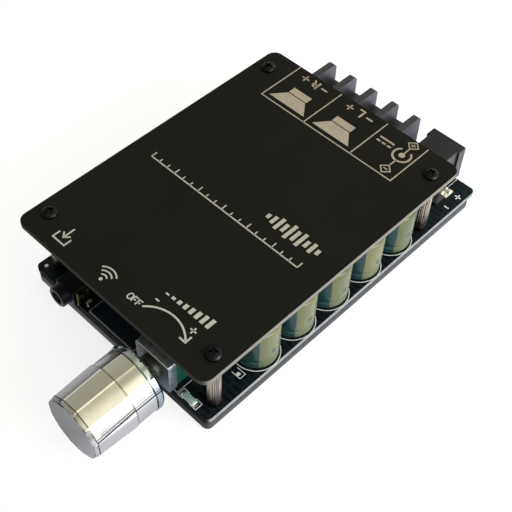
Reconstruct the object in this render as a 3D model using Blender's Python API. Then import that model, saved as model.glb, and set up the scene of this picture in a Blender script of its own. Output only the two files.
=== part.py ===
"""Audio amplifier board: a populated circuit board on a heatsink plate, under a cover plate.

The frame stands on the underside of the heatsink plate: +X right, +Y to the speaker
terminals, +Z up, with the volume knob at the front, towards -Y. Lengths are in metres.
"""

from math import cos, pi, radians, sin

import bmesh
import bpy
from mathutils import Matrix

MM = 0.001

# Clearances
SEAT_GAP = 0.2 * MM  # between a piece and the face it sits on
FIT_GAP = 0.2 * MM  # between a pin and its hole, all round
SLIDE_GAP = 0.3 * MM  # between a moving clamp and the walls beside it

# Main board
BOARD_WIDTH = 68.4 * MM
BOARD_LENGTH = 110.0 * MM
BOARD_THICKNESS = 1.6 * MM
BOARD_CORNER = 3.0 * MM
HOLE_SPACING_Y = 81.6 * MM
HOLE_LEFT_INSET = 4.66 * MM
HOLE_RIGHT_INSET = 2.94 * MM
HOLE_FRONT_INSET = 5.05 * MM

# Heatsink plate
PLATE_THICKNESS = 3.0 * MM
PLATE_SIDE_INSET = 0.2 * MM
PLATE_REAR_INSET = 1.6 * MM
PLATE_CORNER = 3.2 * MM
PLATE_EDGE_BEVEL = 0.35 * MM

# Insulating sheet between the plate and the board
SHEET_THICKNESS = 0.4 * MM
SHEET_INSET = 0.6 * MM

# Cover plate
COVER_SIDE_MARGIN = 4.6 * MM
COVER_END_MARGIN = 7.5 * MM
COVER_THICKNESS = 1.6 * MM
COVER_CORNER = 3.0 * MM

# Standoffs and their screws
STANDOFF_LENGTH = 19.6 * MM
STANDOFF_RADIUS = 1.9 * MM
KNURL_DEPTH = 0.13 * MM
KNURL_COUNT = 18
STANDOFF_BAND = 1.5 * MM
SCREW_RADIUS = 1.15 * MM
SCREW_HEAD_RADIUS = 2.45 * MM
SCREW_HEAD_HEIGHT = 1.7 * MM
SCREW_GRIP = 5.0 * MM
SUNK_HEAD_RADIUS = 2.3 * MM
SUNK_HEAD_HEIGHT = 1.3 * MM
SUNK_HEAD_DEPTH = 0.2 * MM
RECESS_DEPTH = 0.9 * MM
RECESS_ARM = 1.25 * MM
RECESS_WIDTH = 0.45 * MM

# Power capacitors
CAPACITOR_COUNT = 5
CAPACITOR_RADIUS = 6.2 * MM
CAPACITOR_HEIGHT = 14.0 * MM
CAPACITOR_PITCH = 13.5 * MM
CAPACITOR_SIDE_INSET = 6.45 * MM
CAPACITOR_FRONT_INSET = 23.45 * MM
CRIMP_HEIGHT = 2.6 * MM
CRIMP_DEPTH = 0.45 * MM
CAPACITOR_ROUND = 0.8 * MM
SLEEVE_LIP = 1.1 * MM
VENT_SINK = 0.35 * MM
LEAD_SPACING = 5.0 * MM
LEAD_RADIUS = 0.35 * MM

# Speaker terminals
TERMINAL_POLES = 4
TERMINAL_PITCH = 8.25 * MM
TERMINAL_WALL = 2.2 * MM
TERMINAL_DEPTH = 15.0 * MM
TERMINAL_HEIGHT = 15.0 * MM
TERMINAL_SEAT_HEIGHT = 8.5 * MM
TERMINAL_FRONT_WALL = 2.0 * MM
TERMINAL_ROUND = 1.6 * MM
TERMINAL_GAP_TO_SOCKET = 3.8 * MM
TERMINAL_REAR_INSET = 0.95 * MM
CONTACT_THICKNESS = 0.8 * MM
CONTACT_WIDTH = 4.6 * MM
CONTACT_REAR_INSET = 5.4 * MM
CLAMP_LENGTH = 5.4 * MM
CLAMP_THICKNESS = 1.0 * MM
CLAMP_FRONT_CLEARANCE = 1.3 * MM
CLAMP_SCREW_RADIUS = 1.45 * MM
CLAMP_SCREW_LENGTH = 6.0 * MM
CLAMP_HEAD_RADIUS = 2.55 * MM
CLAMP_HEAD_HEIGHT = 2.0 * MM

# Power socket
SOCKET_WIDTH = 11.8 * MM
SOCKET_HEIGHT = 12.0 * MM
SOCKET_FLANGE = 3.3 * MM
SOCKET_BODY_LENGTH = 10.8 * MM
SOCKET_BODY_STEP = 0.7 * MM
SOCKET_RIGHT_INSET = 12.84 * MM
SOCKET_REAR_OVERHANG = 1.05 * MM
SOCKET_BORE_RADIUS = 3.15 * MM
SOCKET_BORE_DEPTH = 10.0 * MM
SOCKET_AXIS_HEIGHT = 6.4 * MM
SOCKET_PIN_RADIUS = 1.05 * MM
SOCKET_PIN_INSET = 1.6 * MM
SOCKET_PIN_ROOT = 2.0 * MM
SOCKET_SPRING_WIDTH = 2.4 * MM
SOCKET_SPRING_THICKNESS = 0.4 * MM

# Audio socket
JACK_WIDTH = 7.0 * MM
JACK_HEIGHT = 5.4 * MM
JACK_LENGTH = 12.6 * MM
JACK_LEFT_INSET = 15.1 * MM
JACK_FRONT_OVERHANG = 1.25 * MM
JACK_NOSE_RADIUS = 3.1 * MM
JACK_NOSE_LENGTH = 2.8 * MM
JACK_NOSE_HEIGHT = 3.25 * MM
JACK_BORE_RADIUS = 1.85 * MM
JACK_BORE_DEPTH = 13.5 * MM
JACK_WINDOW_SETBACK = 3.0 * MM
JACK_WINDOW_LENGTH = 6.0 * MM
JACK_WINDOW_WIDTH = 1.6 * MM
JACK_SPRING_THICKNESS = 0.3 * MM

# Volume control
POT_RIGHT_INSET = 18.34 * MM
POT_WIDTH = 12.1 * MM
POT_HEIGHT = 11.2 * MM
POT_FRONT_OVERHANG = 1.25 * MM
POT_FRAME_DEPTH = 2.7 * MM
POT_BODY_LENGTH = 7.6 * MM
POT_BODY_INSET = 0.4 * MM
POT_SWITCH_LENGTH = 4.6 * MM
POT_FRAME_BEVEL = 0.4 * MM
POT_AXIS_HEIGHT = 6.5 * MM
BUSHING_RADIUS = 3.5 * MM
BUSHING_LENGTH = 5.0 * MM
BUSHING_SUNK = 1.8 * MM
THREAD_DEPTH = 0.25 * MM
THREAD_PITCH = 1.0 * MM
JOURNAL_RADIUS = 2.5 * MM
SHAFT_RADIUS = 3.0 * MM
SHAFT_FLAT = 1.5 * MM
SHAFT_LENGTH = 15.0 * MM

# Knob
KNOB_LENGTH = 21.5 * MM
KNOB_CLEARANCE = 4.0 * MM
KNOB_COLLAR_RADIUS = 9.75 * MM
KNOB_COLLAR_LENGTH = 2.0 * MM
KNOB_REAR_RADIUS = 9.25 * MM
KNOB_REAR_SHARE = 0.46
KNOB_STEP_RADIUS = 9.65 * MM
KNOB_FRONT_RADIUS = 9.1 * MM
KNOB_FACETS = 12
KNOB_FACET_STEP_COUNT = 3
KNOB_FACET_ROUNDING = 0.4
KNOB_GROOVE = 0.35 * MM
KNOB_RIM_WIDTH = 2.2 * MM
KNOB_FACE_SINK = 0.2 * MM
KNOB_BEVEL = 1.2 * MM
KNOB_HOLLOW_RADIUS = 7.6 * MM
KNOB_HOLLOW_DEPTH = 9.0 * MM
KNOB_HUB_RADIUS = 4.9 * MM
KNOB_HUB_SETBACK = 1.9 * MM

# Wireless module
MODULE_LENGTH = 24.0 * MM
MODULE_THICKNESS = 0.8 * MM
MODULE_GAP_TO_JACK = 4.16 * MM
MODULE_GAP_TO_POT = 3.45 * MM
MODULE_FRONT_INSET = 0.25 * MM
MODULE_NOTCH_COUNT = 11
MODULE_NOTCH_RADIUS = 0.35 * MM
MODULE_NOTCH_PITCH = 1.27 * MM
MODULE_CHIP_SIZE = 6.0 * MM
MODULE_CHIP_HEIGHT = 1.0 * MM
CHIP_BEVEL = 0.12 * MM

# Chips and coils on the board
AMPLIFIER_CHIP_COUNT = 2
AMPLIFIER_LENGTH = 11.0 * MM
AMPLIFIER_WIDTH = 6.2 * MM
AMPLIFIER_HEIGHT = 1.2 * MM
AMPLIFIER_SPACING = 22.0 * MM
AMPLIFIER_FRONT_INSET = 47.0 * MM
CHIP_LEG_LENGTH = 1.0 * MM
CHIP_LEG_WIDTH = 0.4 * MM
CHIP_LEG_PITCH = 1.5 * MM
PREAMP_LENGTH = 5.0 * MM
PREAMP_WIDTH = 4.0 * MM
PREAMP_HEIGHT = 1.4 * MM
PREAMP_X = -16.0 * MM
PREAMP_FRONT_INSET = 31.0 * MM
COIL_COUNT = 4
COIL_LEFT_INSET = 4.5 * MM
COIL_GAP_TO_CAPACITOR = 3.7 * MM
COIL_SPACING = 2.0 * MM
COIL_HEIGHT = 8.0 * MM
COIL_CORNER = 2.0 * MM
COIL_GAP_TO_STANDOFF = 1.2 * MM
COIL_WELL_DEPTH = 0.6 * MM
COIL_WELL_SHARE = 0.40
COIL_CORE_SHARE = 0.33

# Run lamp
LAMP_LENGTH = 5.2 * MM
LAMP_WIDTH = 1.6 * MM
LAMP_HEIGHT = 1.1 * MM
LAMP_RIGHT_INSET = 7.6 * MM
LAMP_FRONT_INSET = 1.1 * MM
LAMP_LENS_HEIGHT = 0.6 * MM
LAMP_LENS_LENGTH = 3.8 * MM

# Heights and edges that follow from the sizes above
SHEET_UNDERSIDE = PLATE_THICKNESS + SEAT_GAP
SHEET_TOP = SHEET_UNDERSIDE + SHEET_THICKNESS
BOARD_UNDERSIDE = SHEET_TOP + SEAT_GAP
BOARD_TOP = BOARD_UNDERSIDE + BOARD_THICKNESS
ON_BOARD = BOARD_TOP + SEAT_GAP
STANDOFF_TOP = ON_BOARD + STANDOFF_LENGTH
COVER_UNDERSIDE = STANDOFF_TOP + SEAT_GAP
COVER_TOP = COVER_UNDERSIDE + COVER_THICKNESS
BOARD_FRONT = -BOARD_LENGTH / 2
BOARD_REAR = BOARD_LENGTH / 2
HOLE_SPACING_X = BOARD_WIDTH - HOLE_LEFT_INSET - HOLE_RIGHT_INSET
HOLE_LEFT = -BOARD_WIDTH / 2 + HOLE_LEFT_INSET
HOLE_FRONT = BOARD_FRONT + HOLE_FRONT_INSET
HOLES = [
    (HOLE_LEFT + i * HOLE_SPACING_X, HOLE_FRONT + j * HOLE_SPACING_Y)
    for j in (0, 1)
    for i in (0, 1)
]
GRID_CENTRE_X = HOLE_LEFT + HOLE_SPACING_X / 2
GRID_CENTRE_Y = HOLE_FRONT + HOLE_SPACING_Y / 2
SCREW_HOLE_RADIUS = SCREW_RADIUS + FIT_GAP

# Segments round a circle, by how large the circle is
ROUND_COUNT = 24
SMALL_ROUND_COUNT = 16
PIN_ROUND_COUNT = 8
NOTCH_ROUND_COUNT = 6


def clear_scene():
    """Removes what the startup scene holds."""
    for obj in list(bpy.data.objects):
        bpy.data.objects.remove(obj)


def material(name, color, roughness, metallic=0.0):
    """A Principled material with one colour."""
    mat = bpy.data.materials.new(name)
    mat.use_nodes = True
    shader = mat.node_tree.nodes["Principled BSDF"]
    shader.inputs["Base Color"].default_value = (*color, 1.0)
    shader.inputs["Roughness"].default_value = roughness
    shader.inputs["Metallic"].default_value = metallic
    mat.diffuse_color = (*color, 1.0)
    return mat


def circle(radius, count, z=0.0, centre=(0.0, 0.0), turn=0.0):
    """The points of a regular polygon on a circle, anticlockwise from above."""
    return [
        (
            centre[0] + radius * cos(2 * pi * i / count + turn),
            centre[1] + radius * sin(2 * pi * i / count + turn),
            z,
        )
        for i in range(count)
    ]


def rounded_rectangle(width, length, corner, steps=4):
    """The outline of a rectangle with round corners, centred, anticlockwise from above."""
    outline = []
    for quarter, (sx, sy) in enumerate(((1, 1), (-1, 1), (-1, -1), (1, -1))):
        cx, cy = sx * (width / 2 - corner), sy * (length / 2 - corner)
        for step in range(steps + 1):
            angle = (quarter + step / steps) * pi / 2
            outline.append((cx + corner * cos(angle), cy + corner * sin(angle)))
    return outline


def loft(rings, closed=False):
    """Skins a stack of rings with equal counts; the ends are filled, or joined if closed."""
    bm = bmesh.new()
    loops = [[bm.verts.new(point) for point in ring] for ring in rings]
    pairs = list(zip(loops, loops[1:]))
    if closed:
        pairs.append((loops[-1], loops[0]))
    for lower, upper in pairs:
        for i in range(len(lower)):
            j = (i + 1) % len(lower)
            bm.faces.new((lower[i], lower[j], upper[j], upper[i]))
    if not closed:
        bm.faces.new(loops[0][::-1])
        bm.faces.new(loops[-1])
    bmesh.ops.recalc_face_normals(bm, faces=bm.faces)
    return bm


def lathe(profile, count=ROUND_COUNT, closed=False):
    """Turns a profile of (radius, height) points round Z."""
    return loft([circle(radius, count, z) for radius, z in profile], closed)


def prism(outline, low, high):
    """A flat outline of (x, y) points, extruded from one height to the other."""
    return loft([[(x, y, z) for x, y in outline] for z in (low, high)])


def side_prism(outline, low, high):
    """An outline of (y, z) points, extruded along X."""
    return loft([[(x, y, z) for y, z in outline] for x in (low, high)])


def box(low, high):
    """A box between two corners."""
    (x0, y0, z0), (x1, y1, z1) = low, high
    return prism([(x0, y0), (x1, y0), (x1, y1), (x0, y1)], z0, z1)


def merged(shapes):
    """One bmesh with the shapes of several, which must lie apart."""
    bm = bmesh.new()
    for shape in shapes:
        mesh = bpy.data.meshes.new("merged")
        shape.to_mesh(mesh)
        shape.free()
        bm.from_mesh(mesh)
        bpy.data.meshes.remove(mesh)
    return bm


def laid(bm, front, location):
    """Lays an upright shape along Y, its top to the front (1) or rear (-1), and moves it."""
    turn = Matrix.Rotation(front * pi / 2, 3, "X")
    bmesh.ops.rotate(bm, matrix=turn, verts=bm.verts)
    bmesh.ops.translate(bm, vec=location, verts=bm.verts)
    return bm


def add(name, bm, mat, location=(0, 0, 0), rotation=(0, 0, 0), smooth=None):
    """Makes an object of a bmesh; smooth is the angle in degrees under which edges are soft."""
    mesh = bpy.data.meshes.new(name)
    bm.to_mesh(mesh)
    bm.free()
    if mat is not None:
        mesh.materials.append(mat)
    if smooth is not None:
        mesh.shade_smooth()
        mesh.set_sharp_from_angle(angle=radians(smooth))
    obj = bpy.data.objects.new(name, mesh)
    obj.location = location
    obj.rotation_euler = rotation
    bpy.context.scene.collection.objects.link(obj)
    return obj


def combine(obj, operation, bm, parented=False):
    """Adds a Boolean of obj with a helper shape, in world space or in obj's own space."""
    helper = add(f"{obj.name}_{operation.lower()}_{len(obj.modifiers)}", bm, None)
    if parented:
        helper.parent = obj
    helper.hide_render = True
    helper.display_type = "WIRE"
    modifier = obj.modifiers.new(operation.title(), "BOOLEAN")
    modifier.operation = operation
    modifier.object = helper


def bevel(obj, width, segments=2, angle=40):
    """Rounds the edges sharper than an angle."""
    modifier = obj.modifiers.new("Bevel", "BEVEL")
    modifier.width = width
    modifier.segments = segments
    modifier.limit_method = "ANGLE"
    modifier.angle_limit = radians(angle)


def cross_recess(top, depth):
    """The cutter of a cross recess, narrower at its foot."""

    def plus(arm, half):
        corners = []
        for quarter in range(4):
            c, s = round(cos(quarter * pi / 2)), round(sin(quarter * pi / 2))
            for x, y in ((arm, -half), (arm, half), (half, half)):
                corners.append((x * c - y * s, x * s + y * c))
        return corners

    rim = plus(RECESS_ARM, RECESS_WIDTH / 2)
    foot = plus(RECESS_ARM * 0.45, RECESS_WIDTH * 0.4)
    above = SEAT_GAP
    return loft(
        [
            [(x, y, top - depth) for x, y in foot],
            [(x, y, top) for x, y in rim],
            [(x, y, top + above) for x, y in rim],
        ]
    )


def pan_screw(name, mat, location, head_radius, head_height, radius, length):
    """A pan-head screw that points down, with its origin under the head."""
    crown = head_radius * 0.62
    profile = [
        (radius * 0.55, -length),
        (radius, -length + radius * 0.6),
        (radius, 0.0),
        (head_radius, 0.0),
        (head_radius, head_height * 0.3),
        (head_radius * 0.88, head_height * 0.78),
        (crown, head_height),
    ]
    obj = add(name, lathe(profile, SMALL_ROUND_COUNT), mat, location, smooth=35)
    combine(obj, "DIFFERENCE", cross_recess(head_height, RECESS_DEPTH), parented=True)
    return obj


# Materials
BLACK_MASK = material("black_solder_mask", (0.012, 0.012, 0.011), 0.45)
COVER_BLACK = material("cover_black", (0.011, 0.011, 0.010), 0.4)
ALUMINIUM = material("aluminium", (0.62, 0.63, 0.65), 0.35, 1.0)
BRASS = material("brass", (0.72, 0.60, 0.38), 0.35, 1.0)
BLACK_STEEL = material("black_steel", (0.02, 0.02, 0.02), 0.35, 0.8)
STEEL = material("bright_steel", (0.62, 0.62, 0.62), 0.3, 1.0)
TINNED = material("tinned_metal", (0.70, 0.69, 0.66), 0.35, 1.0)
SLEEVE_GREEN = material("capacitor_sleeve", (0.05, 0.12, 0.12), 0.3)
BLACK_PLASTIC = material("black_plastic", (0.02, 0.02, 0.022), 0.5)
CHIP_BLACK = material("chip_epoxy", (0.018, 0.018, 0.020), 0.6)
FERRITE = material("ferrite", (0.10, 0.10, 0.105), 0.7)
POT_GREEN = material("phenolic_green", (0.02, 0.20, 0.13), 0.5)
KNOB_SILVER = material("knob_silver", (0.78, 0.76, 0.70), 0.18, 1.0)
MODULE_BLUE = material("module_mask", (0.010, 0.016, 0.022), 0.4)
LAMP_WHITE = material("lamp_lens", (0.75, 0.80, 0.70), 0.3)
SHEET_GREY = material("insulating_sheet", (0.30, 0.31, 0.32), 0.7)

# The turn that lays a piece made upright along -Y, with its top to the front
TO_FRONT = (pi / 2, 0, 0)


SOCKET_CENTRE_X = BOARD_WIDTH / 2 - SOCKET_RIGHT_INSET
TERMINAL_WIDTH = TERMINAL_POLES * TERMINAL_PITCH + TERMINAL_WALL
TERMINAL_RIGHT = SOCKET_CENTRE_X - SOCKET_WIDTH / 2 - TERMINAL_GAP_TO_SOCKET
TERMINAL_CENTRE_X = TERMINAL_RIGHT - TERMINAL_WIDTH / 2


def terminal_pole_centres():
    """The X of the middle of each terminal cell."""
    first = TERMINAL_CENTRE_X - (TERMINAL_POLES - 1) / 2 * TERMINAL_PITCH
    return [first + i * TERMINAL_PITCH for i in range(TERMINAL_POLES)]


TERMINAL_REAR = BOARD_REAR - TERMINAL_REAR_INSET
TERMINAL_FRONT = TERMINAL_REAR - TERMINAL_DEPTH
CELL_FRONT = TERMINAL_FRONT + TERMINAL_FRONT_WALL
CELL_WIDTH = TERMINAL_PITCH - TERMINAL_WALL
CELL_FLOOR = ON_BOARD + TERMINAL_SEAT_HEIGHT
CONTACT_LOW = CELL_FLOOR + SEAT_GAP
CLAMP_LOW = CONTACT_LOW + CONTACT_THICKNESS + SEAT_GAP
CLAMP_Y = CELL_FRONT + CLAMP_FRONT_CLEARANCE + CLAMP_LENGTH / 2
CLAMP_HEAD_LOW = CLAMP_LOW + CLAMP_THICKNESS + SEAT_GAP
CLAMP_HOLE_RADIUS = CLAMP_SCREW_RADIUS + FIT_GAP
CONTACT_LEG_Y = CELL_FRONT + SEAT_GAP

CAPACITOR_X = BOARD_WIDTH / 2 - CAPACITOR_SIDE_INSET
CAPACITOR_PLACES = [
    (CAPACITOR_X, BOARD_FRONT + CAPACITOR_FRONT_INSET + i * CAPACITOR_PITCH)
    for i in range(CAPACITOR_COUNT)
]

POT_CENTRE_X = BOARD_WIDTH / 2 - POT_RIGHT_INSET
POT_FRONT = BOARD_FRONT - POT_FRONT_OVERHANG
POT_AXIS_Z = ON_BOARD + POT_AXIS_HEIGHT
KNOB_REAR = POT_FRONT - KNOB_CLEARANCE
POT_BODY_FRONT = POT_FRONT + POT_FRAME_DEPTH + SEAT_GAP
POT_BODY_REAR = POT_BODY_FRONT + POT_BODY_LENGTH
POT_LEG_PLACES = [
    (POT_CENTRE_X + i * POT_WIDTH * 0.32, POT_BODY_FRONT + j * POT_BODY_LENGTH)
    for j in (0.3, 0.7)
    for i in (-1, 0, 1)
]

SOCKET_REAR = BOARD_REAR + SOCKET_REAR_OVERHANG
SOCKET_FRONT = SOCKET_REAR - SOCKET_FLANGE - SOCKET_BODY_LENGTH
SOCKET_AXIS_Z = ON_BOARD + SOCKET_AXIS_HEIGHT
BORE_WALL = SOCKET_REAR - SOCKET_BORE_DEPTH
SOCKET_LEG_PLACE = (SOCKET_CENTRE_X, BORE_WALL - SOCKET_PIN_ROOT / 2)

JACK_CENTRE_X = -BOARD_WIDTH / 2 + JACK_LEFT_INSET
JACK_FRONT = BOARD_FRONT - JACK_FRONT_OVERHANG
JACK_REAR = JACK_FRONT + JACK_LENGTH
JACK_AXIS_Z = ON_BOARD + JACK_NOSE_HEIGHT
JACK_WINDOW_FRONT = JACK_FRONT + JACK_WINDOW_SETBACK

MODULE_LEFT = JACK_CENTRE_X + JACK_WIDTH / 2 + MODULE_GAP_TO_JACK
MODULE_RIGHT = POT_CENTRE_X - POT_WIDTH / 2 - MODULE_GAP_TO_POT
MODULE_WIDTH = MODULE_RIGHT - MODULE_LEFT
MODULE_CENTRE_X = (MODULE_LEFT + MODULE_RIGHT) / 2
MODULE_FRONT = BOARD_FRONT + MODULE_FRONT_INSET

COIL_LEFT = -BOARD_WIDTH / 2 + COIL_LEFT_INSET
COIL_RIGHT = CAPACITOR_X - CAPACITOR_RADIUS - COIL_GAP_TO_CAPACITOR
COIL_PITCH = (COIL_RIGHT - COIL_LEFT + COIL_SPACING) / COIL_COUNT
COIL_SIZE = COIL_PITCH - COIL_SPACING
COIL_REAR = HOLE_FRONT + HOLE_SPACING_Y - STANDOFF_RADIUS - COIL_GAP_TO_STANDOFF
COIL_Y = COIL_REAR - COIL_SIZE / 2

LEG_HOLE_RADIUS = LEAD_RADIUS + FIT_GAP
LEG_FOOT = BOARD_UNDERSIDE + SEAT_GAP


def legs(places, top):
    """Round leads that run down through the board, for a union with their piece."""
    return merged(
        [
            loft([circle(LEAD_RADIUS, PIN_ROUND_COUNT, z, place) for z in (LEG_FOOT, top)])
            for place in places
        ]
    )


def capacitor_leads(place):
    """The two lead positions of a capacitor."""
    return [(place[0] + side * LEAD_SPACING / 2, place[1]) for side in (-1, 1)]


def make_heatsink_plate():
    """The plate under the board, with a countersunk hole at each corner screw."""
    width = BOARD_WIDTH - 2 * PLATE_SIDE_INSET
    length = BOARD_LENGTH - PLATE_REAR_INSET
    outline = rounded_rectangle(width, length, PLATE_CORNER)
    shifted = [(x, y - PLATE_REAR_INSET / 2) for x, y in outline]
    plate = add("heatsink_plate", prism(shifted, 0.0, PLATE_THICKNESS), ALUMINIUM, smooth=35)
    bevel(plate, PLATE_EDGE_BEVEL, segments=1)
    cutters = []
    cone_top = SUNK_HEAD_DEPTH + SUNK_HEAD_HEIGHT + FIT_GAP
    for place in HOLES:
        rings = [
            circle(SUNK_HEAD_RADIUS + FIT_GAP, SMALL_ROUND_COUNT, -SEAT_GAP, place),
            circle(SUNK_HEAD_RADIUS + FIT_GAP, SMALL_ROUND_COUNT, SUNK_HEAD_DEPTH, place),
            circle(SCREW_HOLE_RADIUS, SMALL_ROUND_COUNT, cone_top, place),
            circle(SCREW_HOLE_RADIUS, SMALL_ROUND_COUNT, PLATE_THICKNESS + SEAT_GAP, place),
        ]
        cutters.append(loft(rings))
    combine(plate, "DIFFERENCE", merged(cutters))


def make_main_board():
    """The main board, with its screw holes and a hole for every lead that goes into it."""
    outline = rounded_rectangle(BOARD_WIDTH, BOARD_LENGTH, BOARD_CORNER)
    board = add("main_board", prism(outline, BOARD_UNDERSIDE, BOARD_TOP), BLACK_MASK, smooth=35)
    low, high = BOARD_UNDERSIDE - SEAT_GAP, BOARD_TOP + SEAT_GAP
    cutters = [
        loft([circle(SCREW_HOLE_RADIUS, SMALL_ROUND_COUNT, z, place) for z in (low, high)])
        for place in HOLES
    ]
    lead_places = [lead for place in CAPACITOR_PLACES for lead in capacitor_leads(place)]
    for place in lead_places + POT_LEG_PLACES + [SOCKET_LEG_PLACE]:
        cutters.append(loft([circle(LEG_HOLE_RADIUS, PIN_ROUND_COUNT, z, place) for z in (low, high)]))
    for x in terminal_pole_centres():
        cutters.append(contact_slot(x, low, high))
    combine(board, "DIFFERENCE", merged(cutters))


def contact_slot(x, low, high):
    """A slot that a terminal contact's leg passes through."""
    half = CONTACT_WIDTH / 2 + FIT_GAP
    front = CONTACT_LEG_Y - FIT_GAP
    rear = CONTACT_LEG_Y + CONTACT_THICKNESS + FIT_GAP
    return box((x - half, front, low), (x + half, rear, high))


def make_cover_plate():
    """The cover plate on the standoffs."""
    width = HOLE_SPACING_X + 2 * COVER_SIDE_MARGIN
    length = HOLE_SPACING_Y + 2 * COVER_END_MARGIN
    outline = rounded_rectangle(width, length, COVER_CORNER)
    shifted = [(x + GRID_CENTRE_X, y + GRID_CENTRE_Y) for x, y in outline]
    cover = add("cover_plate", prism(shifted, COVER_UNDERSIDE, COVER_TOP), COVER_BLACK, smooth=35)
    low, high = COVER_UNDERSIDE - SEAT_GAP, COVER_TOP + SEAT_GAP
    holes = [
        loft([circle(SCREW_HOLE_RADIUS, SMALL_ROUND_COUNT, z, place) for z in (low, high)])
        for place in HOLES
    ]
    combine(cover, "DIFFERENCE", merged(holes))


def make_standoff(name, place):
    """A round brass pillar: straight knurling between two plain bands, tapped at both ends."""
    count = 2 * KNURL_COUNT

    def ring(z, knurled):
        return [
            (r * cos(2 * pi * i / count), r * sin(2 * pi * i / count), z)
            for i in range(count)
            for r in [STANDOFF_RADIUS - KNURL_DEPTH * (knurled and i % 2)]
        ]

    top = STANDOFF_LENGTH
    rings = [ring(z, z not in (0.0, top)) for z in (0.0, STANDOFF_BAND, top - STANDOFF_BAND, top)]
    standoff = add(name, loft(rings), BRASS, (*place, ON_BOARD))
    reach = SCREW_GRIP + STANDOFF_BAND
    bores = [
        loft([circle(SCREW_HOLE_RADIUS, SMALL_ROUND_COUNT, z) for z in span])
        for span in ((-SEAT_GAP, reach), (top - reach, top + SEAT_GAP))
    ]
    combine(standoff, "DIFFERENCE", merged(bores), parented=True)


def make_base_screw(name, place):
    """A countersunk screw that comes up through the plate and the board into a standoff."""
    tip = ON_BOARD + SCREW_GRIP
    profile = [
        (SUNK_HEAD_RADIUS * 0.94, SUNK_HEAD_DEPTH),
        (SUNK_HEAD_RADIUS, SUNK_HEAD_DEPTH + SUNK_HEAD_HEIGHT * 0.12),
        (SCREW_RADIUS, SUNK_HEAD_DEPTH + SUNK_HEAD_HEIGHT),
        (SCREW_RADIUS, tip - SCREW_RADIUS * 0.6),
        (SCREW_RADIUS * 0.55, tip),
    ]
    screw = add(name, lathe(profile, SMALL_ROUND_COUNT), BLACK_STEEL, (*place, 0.0), smooth=35)
    cutter = cross_recess(-SUNK_HEAD_DEPTH, RECESS_DEPTH)
    bmesh.ops.scale(cutter, vec=(1, 1, -1), verts=cutter.verts)
    bmesh.ops.reverse_faces(cutter, faces=cutter.faces)
    combine(screw, "DIFFERENCE", cutter, parented=True)


def make_cover_screw(name, place):
    """A pan-head screw that holds the cover on a standoff."""
    grip = COVER_THICKNESS + 2 * SEAT_GAP + SCREW_GRIP
    head = (*place, COVER_TOP + SEAT_GAP)
    sizes = (SCREW_HEAD_RADIUS, SCREW_HEAD_HEIGHT, SCREW_RADIUS, grip)
    pan_screw(name, BLACK_STEEL, head, *sizes)


def make_capacitor(name, place):
    """A can in a heat-shrunk sleeve, with the crimp near its foot and the sunk vent on top."""
    radius, height = CAPACITOR_RADIUS, CAPACITOR_HEIGHT
    crimp = radius - CRIMP_DEPTH
    half = CRIMP_HEIGHT * 0.45
    top_corner = [
        (radius - CAPACITOR_ROUND * (1 - cos(a)), height - CAPACITOR_ROUND * (1 - sin(a)))
        for a in (0.0, pi / 4, pi / 2)
    ]
    profile = [
        (crimp, 0.0),
        (radius - CRIMP_DEPTH * 0.3, CRIMP_HEIGHT - 2 * half + CRIMP_DEPTH * 0.3),
        (radius - CRIMP_DEPTH * 0.3, CRIMP_HEIGHT - half),
        (crimp, CRIMP_HEIGHT),
        (radius, CRIMP_HEIGHT + half),
        *top_corner,
        (radius - SLEEVE_LIP, height),
        (radius - SLEEVE_LIP, height - VENT_SINK),
    ]
    location = (*place, ON_BOARD)
    can = add(name, lathe(profile, ROUND_COUNT), SLEEVE_GREEN, location, smooth=35)
    leads = legs(capacitor_leads(place), ON_BOARD + CAPACITOR_ROUND)
    combine(can, "UNION", leads)


def make_terminal_block():
    """The moulded block: a wall beside each cell, one along the front, and a sunk screw hole."""
    half = TERMINAL_WIDTH / 2
    low, high = ON_BOARD, ON_BOARD + TERMINAL_HEIGHT
    front, rear, r = TERMINAL_FRONT, TERMINAL_REAR, TERMINAL_ROUND
    round_top = [
        (rear - r * (1 - cos(a)), high - r * (1 - sin(a)))
        for a in (0.0, pi / 8, pi / 4, 3 * pi / 8, pi / 2)
    ]
    outline = [(front, low), (rear, low), *round_top, (front + r, high), (front, high - r)]
    left, right = TERMINAL_CENTRE_X - half, TERMINAL_CENTRE_X + half
    block = add("terminal_block", side_prism(outline, left, right), BLACK_PLASTIC, smooth=35)
    above = high + SEAT_GAP
    behind = rear + SEAT_GAP
    cells, wells = [], []
    for x in terminal_pole_centres():
        side = CELL_WIDTH / 2
        cells.append(box((x - side, CELL_FRONT, CELL_FLOOR), (x + side, behind, above)))
        well = ON_BOARD + TERMINAL_SEAT_HEIGHT - CLAMP_SCREW_LENGTH - SEAT_GAP
        rings = [
            circle(CLAMP_HOLE_RADIUS + FIT_GAP, SMALL_ROUND_COUNT, z, (x, CLAMP_Y))
            for z in (well, CELL_FLOOR + SEAT_GAP / 2)
        ]
        wells.append(loft(rings))
        wells.append(contact_slot(x, low - SEAT_GAP, CELL_FLOOR + SEAT_GAP / 2))
    combine(block, "DIFFERENCE", merged(cells))
    combine(block, "DIFFERENCE", merged(wells))


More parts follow.
